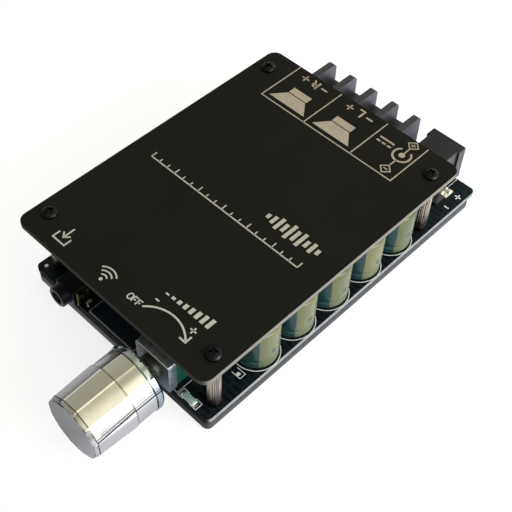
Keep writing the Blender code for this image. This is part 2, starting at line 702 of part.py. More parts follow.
def make_terminal_contact(name, x):
    """The bent strip that lies on the cell's floor and runs down through the board."""
    front, rear = CONTACT_LEG_Y, TERMINAL_REAR - CONTACT_REAR_INSET
    low, high = CONTACT_LOW, CONTACT_LOW + CONTACT_THICKNESS
    inner = front + CONTACT_THICKNESS
    outline = [(front, LEG_FOOT), (inner, LEG_FOOT), (inner, low), (rear, low), (rear, high)]
    outline.append((front, high))
    half = CONTACT_WIDTH / 2
    contact = add(name, side_prism(outline, x - half, x + half), TINNED)
    rings = [
        circle(CLAMP_HOLE_RADIUS, SMALL_ROUND_COUNT, z, (x, CLAMP_Y))
        for z in (low - SEAT_GAP, high + SEAT_GAP)
    ]
    combine(contact, "DIFFERENCE", loft(rings))


def make_clamp(name, x):
    """The square plate under a terminal screw, with its two sides bent down a little."""
    half_x = CELL_WIDTH / 2 - SLIDE_GAP
    half_y = CLAMP_LENGTH / 2
    thick, lip = CLAMP_THICKNESS, CLAMP_THICKNESS * 0.35
    outline = [
        (-half_x, 0.0),
        (-half_x + lip, 0.0),
        (-half_x + 2 * lip, lip),
        (half_x - 2 * lip, lip),
        (half_x - lip, 0.0),
        (half_x, 0.0),
        (half_x, thick - lip / 2),
        (half_x - lip / 2, thick),
        (-half_x + lip / 2, thick),
        (-half_x, thick - lip / 2),
    ]
    rings = [[(px, y, pz) for px, pz in outline] for y in (half_y, -half_y)]
    clamp = add(name, loft(rings), STEEL, (x, CLAMP_Y, CLAMP_LOW))
    hole = [circle(CLAMP_HOLE_RADIUS, SMALL_ROUND_COUNT, z) for z in (-SEAT_GAP, thick + SEAT_GAP)]
    combine(clamp, "DIFFERENCE", loft(hole), parented=True)


def make_terminal_screw(name, x):
    """The pan-head screw of one terminal."""
    head = (x, CLAMP_Y, CLAMP_HEAD_LOW)
    reach = CLAMP_HEAD_LOW - CELL_FLOOR + CLAMP_SCREW_LENGTH - SLIDE_GAP
    sizes = (CLAMP_HEAD_RADIUS, CLAMP_HEAD_HEIGHT, CLAMP_SCREW_RADIUS, reach)
    pan_screw(name, STEEL, head, *sizes)


def make_power_socket():
    """The moulded socket: a flange at the rear, a narrower body, and the plug's bore."""
    half, step = SOCKET_WIDTH / 2, SOCKET_BODY_STEP
    top = ON_BOARD + SOCKET_HEIGHT
    flange_front = SOCKET_REAR - SOCKET_FLANGE
    plan = [
        (-half, SOCKET_REAR),
        (-half, flange_front),
        (-half + step, flange_front),
        (-half + step, SOCKET_FRONT),
        (half - step, SOCKET_FRONT),
        (half - step, flange_front),
        (half, flange_front),
        (half, SOCKET_REAR),
    ]
    shifted = [(x + SOCKET_CENTRE_X, y) for x, y in plan]
    housing = add("power_socket_housing", prism(shifted, ON_BOARD, top), BLACK_PLASTIC, smooth=35)
    mouth = (SOCKET_CENTRE_X, SOCKET_REAR, SOCKET_AXIS_Z)
    profile = [(SOCKET_BORE_RADIUS, -SOCKET_BORE_DEPTH), (SOCKET_BORE_RADIUS, SEAT_GAP)]
    combine(housing, "DIFFERENCE", laid(lathe(profile), -1, mouth))
    slot_half = SOCKET_SPRING_WIDTH / 2 + FIT_GAP
    floor = SOCKET_AXIS_Z - SOCKET_BORE_RADIUS - SOCKET_SPRING_THICKNESS - FIT_GAP
    slot_low = (SOCKET_CENTRE_X - slot_half, BORE_WALL + FIT_GAP, floor)
    slot_high = (SOCKET_CENTRE_X + slot_half, flange_front, SOCKET_AXIS_Z)
    combine(housing, "DIFFERENCE", box(slot_low, slot_high))
    reach = SOCKET_PIN_ROOT + FIT_GAP + SEAT_GAP
    profile = [(SOCKET_PIN_RADIUS + FIT_GAP, -reach), (SOCKET_PIN_RADIUS + FIT_GAP, SEAT_GAP)]
    wall = (SOCKET_CENTRE_X, BORE_WALL, SOCKET_AXIS_Z)
    combine(housing, "DIFFERENCE", laid(lathe(profile, SMALL_ROUND_COUNT), -1, wall))
    span = (ON_BOARD - SEAT_GAP, SOCKET_AXIS_Z)
    leg = [circle(LEG_HOLE_RADIUS, PIN_ROUND_COUNT, z, SOCKET_LEG_PLACE) for z in span]
    combine(housing, "DIFFERENCE", loft(leg))


def make_power_socket_pin():
    """The centre pin, rooted in the wall behind the bore, with its leg down to the board."""
    r = SOCKET_PIN_RADIUS
    tip = SOCKET_BORE_DEPTH - SOCKET_PIN_INSET
    profile = [(r, -SOCKET_PIN_ROOT), (r, tip - r / 2), (r / 2, tip)]
    wall = (SOCKET_CENTRE_X, BORE_WALL, SOCKET_AXIS_Z)
    shape = laid(lathe(profile, SMALL_ROUND_COUNT), -1, wall)
    pin = add("power_socket_pin", shape, TINNED, smooth=35)
    combine(pin, "UNION", legs([SOCKET_LEG_PLACE], SOCKET_AXIS_Z))


def make_power_socket_spring():
    """The leaf along the foot of the bore that touches the plug's sleeve."""
    half = SOCKET_SPRING_WIDTH / 2
    low = SOCKET_AXIS_Z - SOCKET_BORE_RADIUS - SOCKET_SPRING_THICKNESS
    front = BORE_WALL + 2 * FIT_GAP
    rear = SOCKET_REAR - SOCKET_FLANGE - FIT_GAP
    length = rear - front
    hump = SOCKET_SPRING_THICKNESS * 1.2
    line = [(0.0, 0.0), (0.25, 0.0), (0.55, hump), (0.7, hump), (1.0, 0.0)]
    under = [(front + length * y, low + z) for y, z in line]
    over = [(y, z + SOCKET_SPRING_THICKNESS) for y, z in reversed(under)]
    strip = side_prism(under + over, SOCKET_CENTRE_X - half, SOCKET_CENTRE_X + half)
    add("power_socket_spring", strip, TINNED)


def make_audio_socket():
    """The moulded socket with a round nose, its bore, and a slot in each side for a spring."""
    half = JACK_WIDTH / 2
    low, high = ON_BOARD, ON_BOARD + JACK_HEIGHT
    body = box(
        (JACK_CENTRE_X - half, JACK_FRONT, low),
        (JACK_CENTRE_X + half, JACK_REAR, high),
    )
    housing = add("audio_socket_housing", body, BLACK_PLASTIC, smooth=35)
    face = (JACK_CENTRE_X, JACK_FRONT, JACK_AXIS_Z)
    r = JACK_NOSE_RADIUS
    profile = [
        (r, -SEAT_GAP),
        (r, JACK_NOSE_LENGTH - FIT_GAP),
        (r - FIT_GAP, JACK_NOSE_LENGTH),
    ]
    combine(housing, "UNION", laid(lathe(profile), 1, face))
    bore_rear = JACK_BORE_DEPTH - JACK_NOSE_LENGTH
    profile = [(JACK_BORE_RADIUS, -bore_rear), (JACK_BORE_RADIUS, JACK_NOSE_LENGTH + SEAT_GAP)]
    combine(housing, "DIFFERENCE", laid(lathe(profile), 1, face))
    slot_half = JACK_WINDOW_WIDTH / 2
    slots = []
    for side in (-1, 1):
        inner, outer = sorted((side * JACK_BORE_RADIUS / 2, side * (half + SEAT_GAP)))
        slots.append(
            box(
                (JACK_CENTRE_X + inner, JACK_WINDOW_FRONT, JACK_AXIS_Z - slot_half),
                (
                    JACK_CENTRE_X + outer,
                    JACK_WINDOW_FRONT + JACK_WINDOW_LENGTH,
                    JACK_AXIS_Z + slot_half,
                ),
            )
        )
    combine(housing, "DIFFERENCE", merged(slots))


def make_audio_socket_spring(name, side):
    """A leaf that stands in a side slot and bows in to the plug."""
    outer = JACK_WIDTH / 2 - SEAT_GAP
    bow = JACK_WIDTH / 2 - JACK_BORE_RADIUS
    front = JACK_WINDOW_FRONT + FIT_GAP
    length = JACK_WINDOW_LENGTH - 2 * FIT_GAP
    line = [(0.0, 0.0), (0.2, 0.0), (0.55, bow), (0.7, bow), (1.0, bow * 0.4)]
    outside = [(outer - x, front + length * y) for y, x in line]
    inside = [(x - JACK_SPRING_THICKNESS, y) for x, y in reversed(outside)]
    outline = [(JACK_CENTRE_X + side * x, y) for x, y in outside + inside]
    half = JACK_WINDOW_WIDTH / 2 - FIT_GAP
    add(name, prism(outline, JACK_AXIS_Z - half, JACK_AXIS_Z + half), TINNED)


def make_potentiometer():
    """The volume control: steel frame, two insulating wafers, a switch, and a threaded bushing."""
    half = POT_WIDTH / 2
    low, high = ON_BOARD, ON_BOARD + POT_HEIGHT
    shape = box(
        (POT_CENTRE_X - half, POT_FRONT, low),
        (POT_CENTRE_X + half, POT_FRONT + POT_FRAME_DEPTH, high),
    )
    frame = add("potentiometer_frame", shape, STEEL, smooth=35)
    bevel(frame, POT_FRAME_BEVEL, segments=2)
    face = (POT_CENTRE_X, POT_FRONT, POT_AXIS_Z)
    bore = JOURNAL_RADIUS + FIT_GAP
    seat = BUSHING_RADIUS + FIT_GAP
    profile = [
        (bore, -POT_FRAME_DEPTH - SEAT_GAP),
        (bore, -BUSHING_SUNK - SEAT_GAP),
        (seat, -BUSHING_SUNK - SEAT_GAP),
        (seat, SEAT_GAP),
    ]
    combine(frame, "DIFFERENCE", laid(lathe(profile), 1, face))
    wafer_length = (POT_BODY_LENGTH - SEAT_GAP) / 2
    inset = half - POT_BODY_INSET
    start = POT_BODY_FRONT
    for number, name in enumerate(("potentiometer_wafer_front", "potentiometer_wafer_rear")):
        corner = (POT_CENTRE_X - inset, start, low)
        far = (POT_CENTRE_X + inset, start + wafer_length, high - POT_BODY_INSET)
        wafer = add(name, box(corner, far), POT_GREEN)
        combine(wafer, "UNION", legs(POT_LEG_PLACES[3 * number : 3 * number + 3], low + SEAT_GAP))
        start += wafer_length + SEAT_GAP
    corner = (POT_CENTRE_X - inset, start, low)
    far = (POT_CENTRE_X + inset, start + POT_SWITCH_LENGTH, high - 2 * POT_BODY_INSET)
    switch = add("potentiometer_switch", box(corner, far), BLACK_PLASTIC, smooth=35)
    bevel(switch, POT_FRAME_BEVEL, segments=1)


def make_bushing():
    """The bushing that carries the shaft: a few thread grooves outside, a plain bore."""
    r = BUSHING_RADIUS
    root = r - THREAD_DEPTH
    length = BUSHING_SUNK + BUSHING_LENGTH
    profile = [(r, 0.0), (r, BUSHING_SUNK + THREAD_PITCH)]
    z = BUSHING_SUNK + THREAD_PITCH
    while z + THREAD_PITCH < length:
        profile += [(root, z + THREAD_PITCH * 0.3), (root, z + THREAD_PITCH * 0.6)]
        z += THREAD_PITCH
        profile.append((r, z))
    profile += [(root, length), (JOURNAL_RADIUS + FIT_GAP, length)]
    profile.append((JOURNAL_RADIUS + FIT_GAP, 0.0))
    seat = (POT_CENTRE_X, POT_FRONT + BUSHING_SUNK, POT_AXIS_Z)
    shape = laid(lathe(profile, SMALL_ROUND_COUNT, True), 1, seat)
    add("potentiometer_bushing", shape, BRASS, smooth=35)


def d_ring(radius, flat, z):
    """A circle whose upper side is cut to a flat at a distance from the centre."""
    points = []
    for i in range(ROUND_COUNT):
        angle = 2 * pi * (i + 0.5) / ROUND_COUNT
        points.append((radius * cos(angle), min(radius * sin(angle), flat), z))
    return points


def make_shaft():
    """The shaft: a journal in the bushing and, beyond it, a thicker D-shaped end."""
    start = POT_FRAME_DEPTH - SEAT_GAP
    shoulder = BUSHING_LENGTH + SEAT_GAP
    profile = [(JOURNAL_RADIUS, -start), (JOURNAL_RADIUS, shoulder)]
    face = (POT_CENTRE_X, POT_FRONT, POT_AXIS_Z)
    shaft = add("potentiometer_shaft", lathe(profile), ALUMINIUM, face, TO_FRONT, smooth=35)
    tip = [
        d_ring(SHAFT_RADIUS, SHAFT_FLAT, shoulder),
        d_ring(SHAFT_RADIUS, SHAFT_FLAT, SHAFT_LENGTH - 2 * FIT_GAP),
        d_ring(SHAFT_RADIUS - 2 * FIT_GAP, SHAFT_FLAT, SHAFT_LENGTH),
    ]
    foot = [(x, y, shoulder - SEAT_GAP / 2) for x, y, z in tip[0]]
    combine(shaft, "UNION", loft([foot, *tip[1:]]), parented=True)


def facet_ring(radius, z):
    """A many-sided section with softened corners."""
    count = KNOB_FACETS * KNOB_FACET_STEP_COUNT
    points = []
    for i in range(count):
        angle = 2 * pi * i / count
        along = (i % KNOB_FACET_STEP_COUNT) / KNOB_FACET_STEP_COUNT
        off = (2 * along - 1) * pi / KNOB_FACETS
        flat = cos(pi / KNOB_FACETS) / cos(off)
        share = 1 - KNOB_FACET_ROUNDING
        r = radius * (1 - share + share * flat)
        points.append((r * cos(angle), r * sin(angle), z))
    return points


def make_knob():
    """The knob, from the inside of its hub out: hollow back, collar, plain drum and flats."""
    count = KNOB_FACET_STEP_COUNT * KNOB_FACETS
    step = KNOB_LENGTH * KNOB_REAR_SHARE
    rim = KNOB_FRONT_RADIUS - KNOB_GROOVE
    plain, groove = KNOB_REAR_RADIUS, KNOB_GROOVE
    rings = [
        circle(KNOB_HUB_RADIUS, count, KNOB_HUB_SETBACK),
        circle(KNOB_HUB_RADIUS, count, KNOB_HOLLOW_DEPTH),
        circle(KNOB_HOLLOW_RADIUS, count, KNOB_HOLLOW_DEPTH),
        circle(KNOB_HOLLOW_RADIUS, count, 0.0),
        circle(KNOB_COLLAR_RADIUS - groove, count, 0.0),
        circle(KNOB_COLLAR_RADIUS, count, groove),
        circle(KNOB_COLLAR_RADIUS, count, KNOB_COLLAR_LENGTH - groove / 2),
        circle(plain - groove, count, KNOB_COLLAR_LENGTH),
        circle(plain, count, KNOB_COLLAR_LENGTH + groove),
        circle(plain, count, step - groove),
        circle(KNOB_STEP_RADIUS, count, step),
        facet_ring(KNOB_STEP_RADIUS, step + groove),
        facet_ring(KNOB_FRONT_RADIUS, KNOB_LENGTH - KNOB_BEVEL),
        facet_ring(rim, KNOB_LENGTH - groove / 2),
        circle(rim - groove, count, KNOB_LENGTH),
        circle(rim - KNOB_RIM_WIDTH, count, KNOB_LENGTH),
        circle(rim - KNOB_RIM_WIDTH - groove, count, KNOB_LENGTH - KNOB_FACE_SINK),
    ]
    place = (POT_CENTRE_X, KNOB_REAR, POT_AXIS_Z)
    knob = add("volume_knob", loft(rings), KNOB_SILVER, place, TO_FRONT, smooth=25)
    bore_end = SHAFT_LENGTH - KNOB_CLEARANCE + SEAT_GAP
    flat = SHAFT_FLAT + FIT_GAP
    span = (KNOB_HUB_SETBACK - SEAT_GAP, bore_end)
    bore = [d_ring(SHAFT_RADIUS + FIT_GAP, flat, z) for z in span]
    combine(knob, "DIFFERENCE", loft(bore), parented=True)


def make_wireless_module():
    """A thin module board with half-round pads along both long edges, and its chip."""
    half = MODULE_WIDTH / 2
    front = MODULE_FRONT
    low, high = ON_BOARD, ON_BOARD + MODULE_THICKNESS
    corner = (MODULE_CENTRE_X - half, front, low)
    far = (MODULE_CENTRE_X + half, front + MODULE_LENGTH, high)
    module = add("module_board", box(corner, far), MODULE_BLUE)
    first = front + MODULE_LENGTH - MODULE_NOTCH_COUNT * MODULE_NOTCH_PITCH
    notches = []
    for side in (-1, 1):
        for i in range(MODULE_NOTCH_COUNT):
            place = (MODULE_CENTRE_X + side * half, first + i * MODULE_NOTCH_PITCH)
            span = (low - SEAT_GAP, high + SEAT_GAP)
            rings = [circle(MODULE_NOTCH_RADIUS, NOTCH_ROUND_COUNT, z, place) for z in span]
            notches.append(loft(rings))
    combine(module, "DIFFERENCE", merged(notches))
    size = MODULE_CHIP_SIZE / 2
    seat = high + SEAT_GAP
    middle = front + MODULE_LENGTH / 2
    corner = (MODULE_CENTRE_X - size, middle - size, seat)
    far = (MODULE_CENTRE_X + size, middle + size, seat + MODULE_CHIP_HEIGHT)
    chip = add("module_chip", box(corner, far), CHIP_BLACK)
    bevel(chip, CHIP_BEVEL, segments=1)


def make_chip(name, place, length, width, height):
    """A moulded chip with a row of bent legs along each long side."""
    low, high = ON_BOARD, ON_BOARD + height
    corner = (place[0] - width / 2, place[1] - length / 2, low)
    far = (place[0] + width / 2, place[1] + length / 2, high)
    chip = add(name, box(corner, far), CHIP_BLACK)
    count = int((length - CHIP_LEG_WIDTH) / CHIP_LEG_PITCH)
    thick = CHIP_LEG_WIDTH / 2
    rows = []
    for side in (-1, 1):
        root, knee = width / 2 - thick, width / 2 + CHIP_LEG_LENGTH * 0.4
        toe = width / 2 + CHIP_LEG_LENGTH
        middle = low + height / 2
        outline = [
            (root, middle - thick / 2),
            (knee - thick, middle - thick / 2),
            (knee - thick, low),
            (toe, low),
            (toe, low + thick),
            (knee, low + thick),
            (knee, middle + thick / 2),
            (root, middle + thick / 2),
        ]
        for i in range(count):
            y = place[1] + (i - (count - 1) / 2) * CHIP_LEG_PITCH
            rings = [
                [(place[0] + side * x, y + half, z) for x, z in outline]
                for half in (-CHIP_LEG_WIDTH / 2, CHIP_LEG_WIDTH / 2)
            ]
            rows.append(loft(rings))
    combine(chip, "UNION", merged(rows))


def make_coil(name, place):
    """A shielded coil: a square ferrite shell with a round well and the core's end in it."""
    outline = rounded_rectangle(COIL_SIZE, COIL_SIZE, COIL_CORNER, steps=2)
    location = (*place, ON_BOARD)
    coil = add(name, prism(outline, 0.0, COIL_HEIGHT), FERRITE, location, smooth=35)
    floor, above = COIL_HEIGHT - COIL_WELL_DEPTH, COIL_HEIGHT + SEAT_GAP
    count = SMALL_ROUND_COUNT
    rings = [
        circle(COIL_SIZE * COIL_WELL_SHARE, count, floor),
        circle(COIL_SIZE * COIL_WELL_SHARE, count, above),
        circle(COIL_SIZE * COIL_CORE_SHARE, count, above),
        circle(COIL_SIZE * COIL_CORE_SHARE, count, floor),
    ]
    combine(coil, "DIFFERENCE", loft(rings, closed=True), parented=True)


def make_run_lamp():
    """The small lamp at the front edge: a base with the clear lens on its middle."""
    low = ON_BOARD
    base_top = low + LAMP_HEIGHT - LAMP_LENS_HEIGHT
    x = BOARD_WIDTH / 2 - LAMP_RIGHT_INSET
    y = BOARD_FRONT + LAMP_FRONT_INSET
    for name, length, start, end, mat in (
        ("run_lamp_base", LAMP_LENGTH, low, base_top, TINNED),
        ("run_lamp_lens", LAMP_LENS_LENGTH, base_top + SEAT_GAP, low + LAMP_HEIGHT, LAMP_WHITE),
    ):
        half_x, half_y = length / 2, LAMP_WIDTH / 2
        corner = (x - half_x, y - half_y, start)
        add(name, box(corner, (x + half_x, y + half_y, end)), mat)


def make_insulating_sheet():
    """The thin sheet between the plate and the board."""
    width = BOARD_WIDTH - 2 * SHEET_INSET
    length = BOARD_LENGTH - 2 * (PLATE_REAR_INSET + SHEET_INSET)
    outline = rounded_rectangle(width, length, BOARD_CORNER)
    sheet = add("insulating_sheet", prism(outline, SHEET_UNDERSIDE, SHEET_TOP), SHEET_GREY)
    span = (SHEET_UNDERSIDE - SEAT_GAP, SHEET_TOP + SEAT_GAP)
    holes = [
        loft([circle(SCREW_HOLE_RADIUS, SMALL_ROUND_COUNT, z, place) for z in span]) for place in HOLES
    ]
    combine(sheet, "DIFFERENCE", merged(holes))


clear_scene()
make_heatsink_plate()
make_insulating_sheet()
make_main_board()
make_cover_plate()
for number, hole in enumerate(HOLES, 1):
    make_standoff(f"standoff_{number}", hole)
    make_base_screw(f"base_screw_{number}", hole)
    make_cover_screw(f"cover_screw_{number}", hole)
for number, spot in enumerate(CAPACITOR_PLACES, 1):
    make_capacitor(f"capacitor_{number}", spot)
make_terminal_block()
for number, centre in enumerate(terminal_pole_centres(), 1):
    make_terminal_contact(f"terminal_contact_{number}", centre)
    make_clamp(f"terminal_clamp_{number}", centre)
    make_terminal_screw(f"terminal_screw_{number}", centre)
make_power_socket()
make_power_socket_pin()
make_power_socket_spring()
make_audio_socket()
make_audio_socket_spring("audio_socket_spring_left", -1)
make_audio_socket_spring("audio_socket_spring_right", 1)
make_potentiometer()
make_bushing()
make_shaft()
make_knob()
make_wireless_module()
for number in range(AMPLIFIER_CHIP_COUNT):
    x = MODULE_CENTRE_X + (number - (AMPLIFIER_CHIP_COUNT - 1) / 2) * AMPLIFIER_SPACING
    make_chip(
        f"amplifier_chip_{number + 1}",
        (x, BOARD_FRONT + AMPLIFIER_FRONT_INSET),
        AMPLIFIER_LENGTH,
        AMPLIFIER_WIDTH,
        AMPLIFIER_HEIGHT,
    )
make_chip(
    "preamplifier_chip",
    (PREAMP_X, BOARD_FRONT + PREAMP_FRONT_INSET),
    PREAMP_LENGTH,
    PREAMP_WIDTH,
    PREAMP_HEIGHT,
)
for number in range(COIL_COUNT):
    x = COIL_LEFT + COIL_SIZE / 2 + number * COIL_PITCH
    make_coil(f"coil_{number + 1}", (x, COIL_Y))
make_run_lamp()
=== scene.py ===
"""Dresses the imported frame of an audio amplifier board: its fine shapes, finishes and stage.

It is laid out as an add-on and run as a script. Lengths are in metres, in the frame of the
CAD model: +X right, +Y to the speaker terminals, +Z up.
"""

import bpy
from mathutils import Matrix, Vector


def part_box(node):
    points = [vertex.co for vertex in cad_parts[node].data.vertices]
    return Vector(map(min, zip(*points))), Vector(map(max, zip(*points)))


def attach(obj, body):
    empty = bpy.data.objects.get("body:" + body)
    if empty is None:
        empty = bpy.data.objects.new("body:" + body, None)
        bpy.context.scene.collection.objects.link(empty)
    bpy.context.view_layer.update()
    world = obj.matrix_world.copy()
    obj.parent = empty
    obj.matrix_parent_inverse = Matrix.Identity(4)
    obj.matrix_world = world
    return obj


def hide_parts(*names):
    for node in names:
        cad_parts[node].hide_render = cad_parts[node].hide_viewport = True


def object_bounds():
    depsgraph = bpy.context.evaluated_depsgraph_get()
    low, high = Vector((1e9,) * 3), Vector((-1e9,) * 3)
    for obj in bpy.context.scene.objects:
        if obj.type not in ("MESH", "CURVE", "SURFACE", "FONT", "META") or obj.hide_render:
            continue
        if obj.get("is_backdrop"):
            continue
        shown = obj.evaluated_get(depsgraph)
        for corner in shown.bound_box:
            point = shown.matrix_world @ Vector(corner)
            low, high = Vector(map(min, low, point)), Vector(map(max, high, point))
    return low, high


bl_info = {
    "name": "Audio Amplifier Board",
    "version": (1, 0, 0),
    "blender": (4, 5, 0),
    "location": "View3D > Sidebar > Amplifier",
    "description": "Fine shapes and finishes for an audio amplifier board",
    "category": "Object",
}

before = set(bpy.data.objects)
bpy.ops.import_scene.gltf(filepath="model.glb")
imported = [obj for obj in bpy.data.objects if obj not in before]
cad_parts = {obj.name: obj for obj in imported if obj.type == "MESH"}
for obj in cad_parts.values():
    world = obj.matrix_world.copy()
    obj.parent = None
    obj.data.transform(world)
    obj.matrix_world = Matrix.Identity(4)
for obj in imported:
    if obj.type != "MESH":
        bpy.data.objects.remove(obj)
CAD_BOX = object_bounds()

from math import cos, pi, radians, sin, tau

import bpy
import numpy as np
from bpy.props import FloatProperty, FloatVectorProperty, IntProperty, PointerProperty
from mathutils import Matrix, Vector
from mathutils.geometry import tessellate_polygon

MM = 0.001
BOARD = "amplifier"
VOLUME = "volume_control"
SCREW_BORE = 1.35 * MM
BOARD_GAP = 0.2 * MM  # how far a part's body stays off the board that it is soldered to


def corners(node):
    """The lowest and highest corner of a CAD node, as arrays."""
    low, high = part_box(node)
    return np.array(low), np.array(high)


PLATE_LOW, PLATE_HIGH = corners("heatsink_plate")
BOARD_LOW, BOARD_HIGH = corners("main_board")
COVER_LOW, COVER_HIGH = corners("cover_plate")
KNOB_LOW, KNOB_HIGH = corners("volume_knob")
BLOCK_LOW, BLOCK_HIGH = corners("terminal_block")
BOARD_TOP, COVER_TOP = BOARD_HIGH[2], COVER_HIGH[2]
COVER_MIDDLE = (COVER_LOW + COVER_HIGH) / 2
SCREW_PLACES = [tuple((sum(corners(f"standoff_{n}")) / 2)[:2]) for n in (1, 2, 3, 4)]
KNOB_AXIS_X, KNOB_AXIS_Z = (float(v) for v in ((KNOB_LOW + KNOB_HIGH) / 2)[[0, 2]])
KNOB_TURN = 3.0  # degrees from +X to the middle of the knob's first flat
KNOB_GROOVE = 0.41 * float(KNOB_HIGH[1] - KNOB_LOW[1])  # rear face to undercut


# Sizes and colours


def length_setting(name, description, default):
    """A length that a user may change."""
    return FloatProperty(name=name, description=description, default=default, min=0, unit="LENGTH")


def count_setting(name, description, default, least):
    """A whole number that a user may change."""
    return IntProperty(name=name, description=description, default=default, min=least)


def colour_setting(name, description, default):
    """A colour that a user may change."""
    return FloatVectorProperty(
        name=name, description=description, subtype="COLOR", size=3, default=default, min=0, max=1
    )


class AmplifierSizes(bpy.types.PropertyGroup):
    """The sizes of the fine shapes that the CAD solids leave open."""

    ink: length_setting("Ink Height", "How far a printed mark stands above its board", 0.03 * MM)
    line: length_setting("Cover Line Width", "Width of the lines printed on the cover plate", 0.38 * MM)
    silk: length_setting("Board Line Width", "Width of the lines printed on the main board", 0.15 * MM)
    knurls: count_setting("Standoff Ribs", "Number of straight knurled ribs round a standoff", 18, 6)
    facets: count_setting("Knob Flats", "Number of flats round the front part of the knob", 12, 3)


class AmplifierColours(bpy.types.PropertyGroup):
    """The colours of the finishes."""

    mask: colour_setting("Board Mask", "Solder mask of the main board", (0.0025, 0.0045, 0.0058))
    cover: colour_setting("Cover Mask", "Solder mask of the cover plate", (0.0062, 0.0062, 0.0050))
    marks: colour_setting("Cover Marks", "Ink of the marks on the cover plate", (0.312, 0.314, 0.27))
    silk: colour_setting("Board Marks", "Ink of the marks on the main board", (0.48, 0.52, 0.52))
    sleeve: colour_setting("Capacitor Sleeve", "Sleeve of the power capacitors", (0.008, 0.030, 0.030))
    stripe: colour_setting("Capacitor Stripe", "Stripe down the capacitor sleeves", (0.052, 0.071, 0.033))
    knob: colour_setting("Knob", "Bright coating of the volume knob", (0.60, 0.585, 0.52))
    wafer: colour_setting("Wafers", "Insulating wafers of the volume control", (0.003, 0.066, 0.049))


# Shapes: each is (points, faces)


def grid(points, wrap_rows=False):
    """Quads between neighbours in a (rows, columns, 3) array of points."""
    rows, columns = points.shape[:2]
    i = np.arange(rows if wrap_rows else rows - 1)[:, None]
    j = np.arange(columns)[None, :]
    down, across = (i + 1) % rows, (j + 1) % columns
    index = (i * columns + j, i * columns + across, down * columns + across, down * columns + j)
    quads = np.stack(np.broadcast_arrays(*index), -1).reshape(-1, 4)
    return points.reshape(-1, 3), quads.tolist()


def skin(rings, caps=True):
    """A surface through a list of (N, 3) rings, its two ends closed by one face each."""
    points, faces = grid(np.stack(rings))
    if caps:
        count = len(rings[0])
        faces.append(list(range(count))[::-1])
        faces.append(list(range(len(points) - count, len(points))))
    return points, faces


def turned(profile, sides, ribs=None, closed=False):
    """A profile of (radius, height) turned about Z: x = r cos a, y = r sin a, z = h.

    ribs(a, k) gives a height to add to the radius at angle a and profile row k.
    """
    profile = np.asarray(profile, float)
    angle = np.arange(sides) * tau / sides
    radius = np.repeat(profile[:, :1], sides, 1)
    if ribs is not None:
        radius = radius + ribs(angle[None, :], np.arange(len(profile))[:, None])
    height = np.repeat(profile[:, 1:], sides, 1)
    points = np.stack([radius * np.cos(angle), radius * np.sin(angle), height], -1)
    if closed:
        return grid(points, wrap_rows=True)
    return skin(list(points))


def rounded_profile(profile, radius, steps=3):
    """A polyline whose corners are cut by quarter-like arcs.

    Each corner p becomes the quadratic curve from p - t a to p + t b, where a and b are
    the unit directions of its two sides and t is the radius, at most 45% of a side.
    """
    p = np.asarray(profile, float)
    out = [p[:1]]
    share = np.linspace(0, 1, steps + 1)[:, None]
    for before, corner, after in zip(p, p[1:], p[2:]):
        a, b = corner - before, after - corner
        la, lb = np.linalg.norm(a), np.linalg.norm(b)
        t = min(radius, 0.45 * la, 0.45 * lb)
        start, end = corner - a / la * t, corner + b / lb * t
        out.append((1 - share) ** 2 * start + 2 * share * (1 - share) * corner + share**2 * end)
    out.append(p[-1:])
    return np.concatenate(out)


def rounded_loop(width, length, corner, steps=8, centre=(0, 0)):
    """A rectangle with round corners: corner centre + r (cos a, sin a), anticlockwise."""
    quarter = np.repeat(np.arange(4), steps)
    angle = (quarter + (np.tile(np.arange(steps), 4) + 0.5) / steps) * pi / 2
    sign = np.array([[1, 1], [-1, 1], [-1, -1], [1, -1]])[quarter]
    middle = sign * (np.array([width, length]) / 2 - corner) + centre
    return middle + corner * np.stack([np.cos(angle), np.sin(angle)], -1)


def ring_loop(radius, count, centre=(0, 0), turn=0.5):
    """A circle of count points, anticlockwise."""
    angle = (np.arange(count) + turn) * tau / count
    return radius * np.stack([np.cos(angle), np.sin(angle)], -1) + centre


def area(loop):
    """Twice the signed area of a flat outline."""
    x, y = loop[:, 0], loop[:, 1]
    return float((x * np.roll(y, -1) - y * np.roll(x, -1)).sum())


def mitres(ahead, behind):
    """(a + b) / (1 + a . b) at each point, with a and b the unit normals of its two edges."""
    normals = []
    for edge in (ahead, behind):
        edge = edge / np.linalg.norm(edge, axis=1, keepdims=True)
        normals.append(np.stack([edge[:, 1], -edge[:, 0]], -1))
    a, b = normals
    return (a + b) / (1 + (a * b).sum(1, keepdims=True))


def inset(loop, distance):
    """Each point moves off the outline's outer side by distance along the mitre of its edges."""
    return loop - distance * mitres(np.roll(loop, -1, 0) - loop, loop - np.roll(loop, 1, 0))


def rectangle(low, high):
    """The outline between two corners, anticlockwise."""
    return np.array([low[:2], (high[0], low[1]), high[:2], (low[0], high[1])], float)


def round_rectangle(low, high, corner, steps):
    """The outline between two corners, with round corners."""
    size, middle = high - low, (low + high) / 2
    return rounded_loop(size[0], size[1], corner, steps, middle[:2])


def ring_at(loop, distance, height):
    """A flat outline moved in by a distance and set at a height."""
    return np.column_stack([inset(loop, distance), np.full(len(loop), height)])


def stacked(rows):
    """A closed surface through (outline, inset, height) rows."""
    return skin([ring_at(*row) for row in rows])


def filled(loops, height, up=True):
    """Triangles that fill a flat area with holes, at one height."""
    points = np.concatenate(loops)
    faces = tessellate_polygon([[Vector((*p, 0)) for p in loop] for loop in loops])
    faces = np.array(faces)
    a, b, c = (points[faces[:, k]] for k in range(3))
    turn = (b - a)[:, 0] * (c - a)[:, 1] - (b - a)[:, 1] * (c - a)[:, 0]
    flip = (turn < 0) if up else (turn > 0)
    faces[flip] = faces[flip][:, ::-1]
    return np.column_stack([points, np.full(len(points), height)]), faces.tolist()


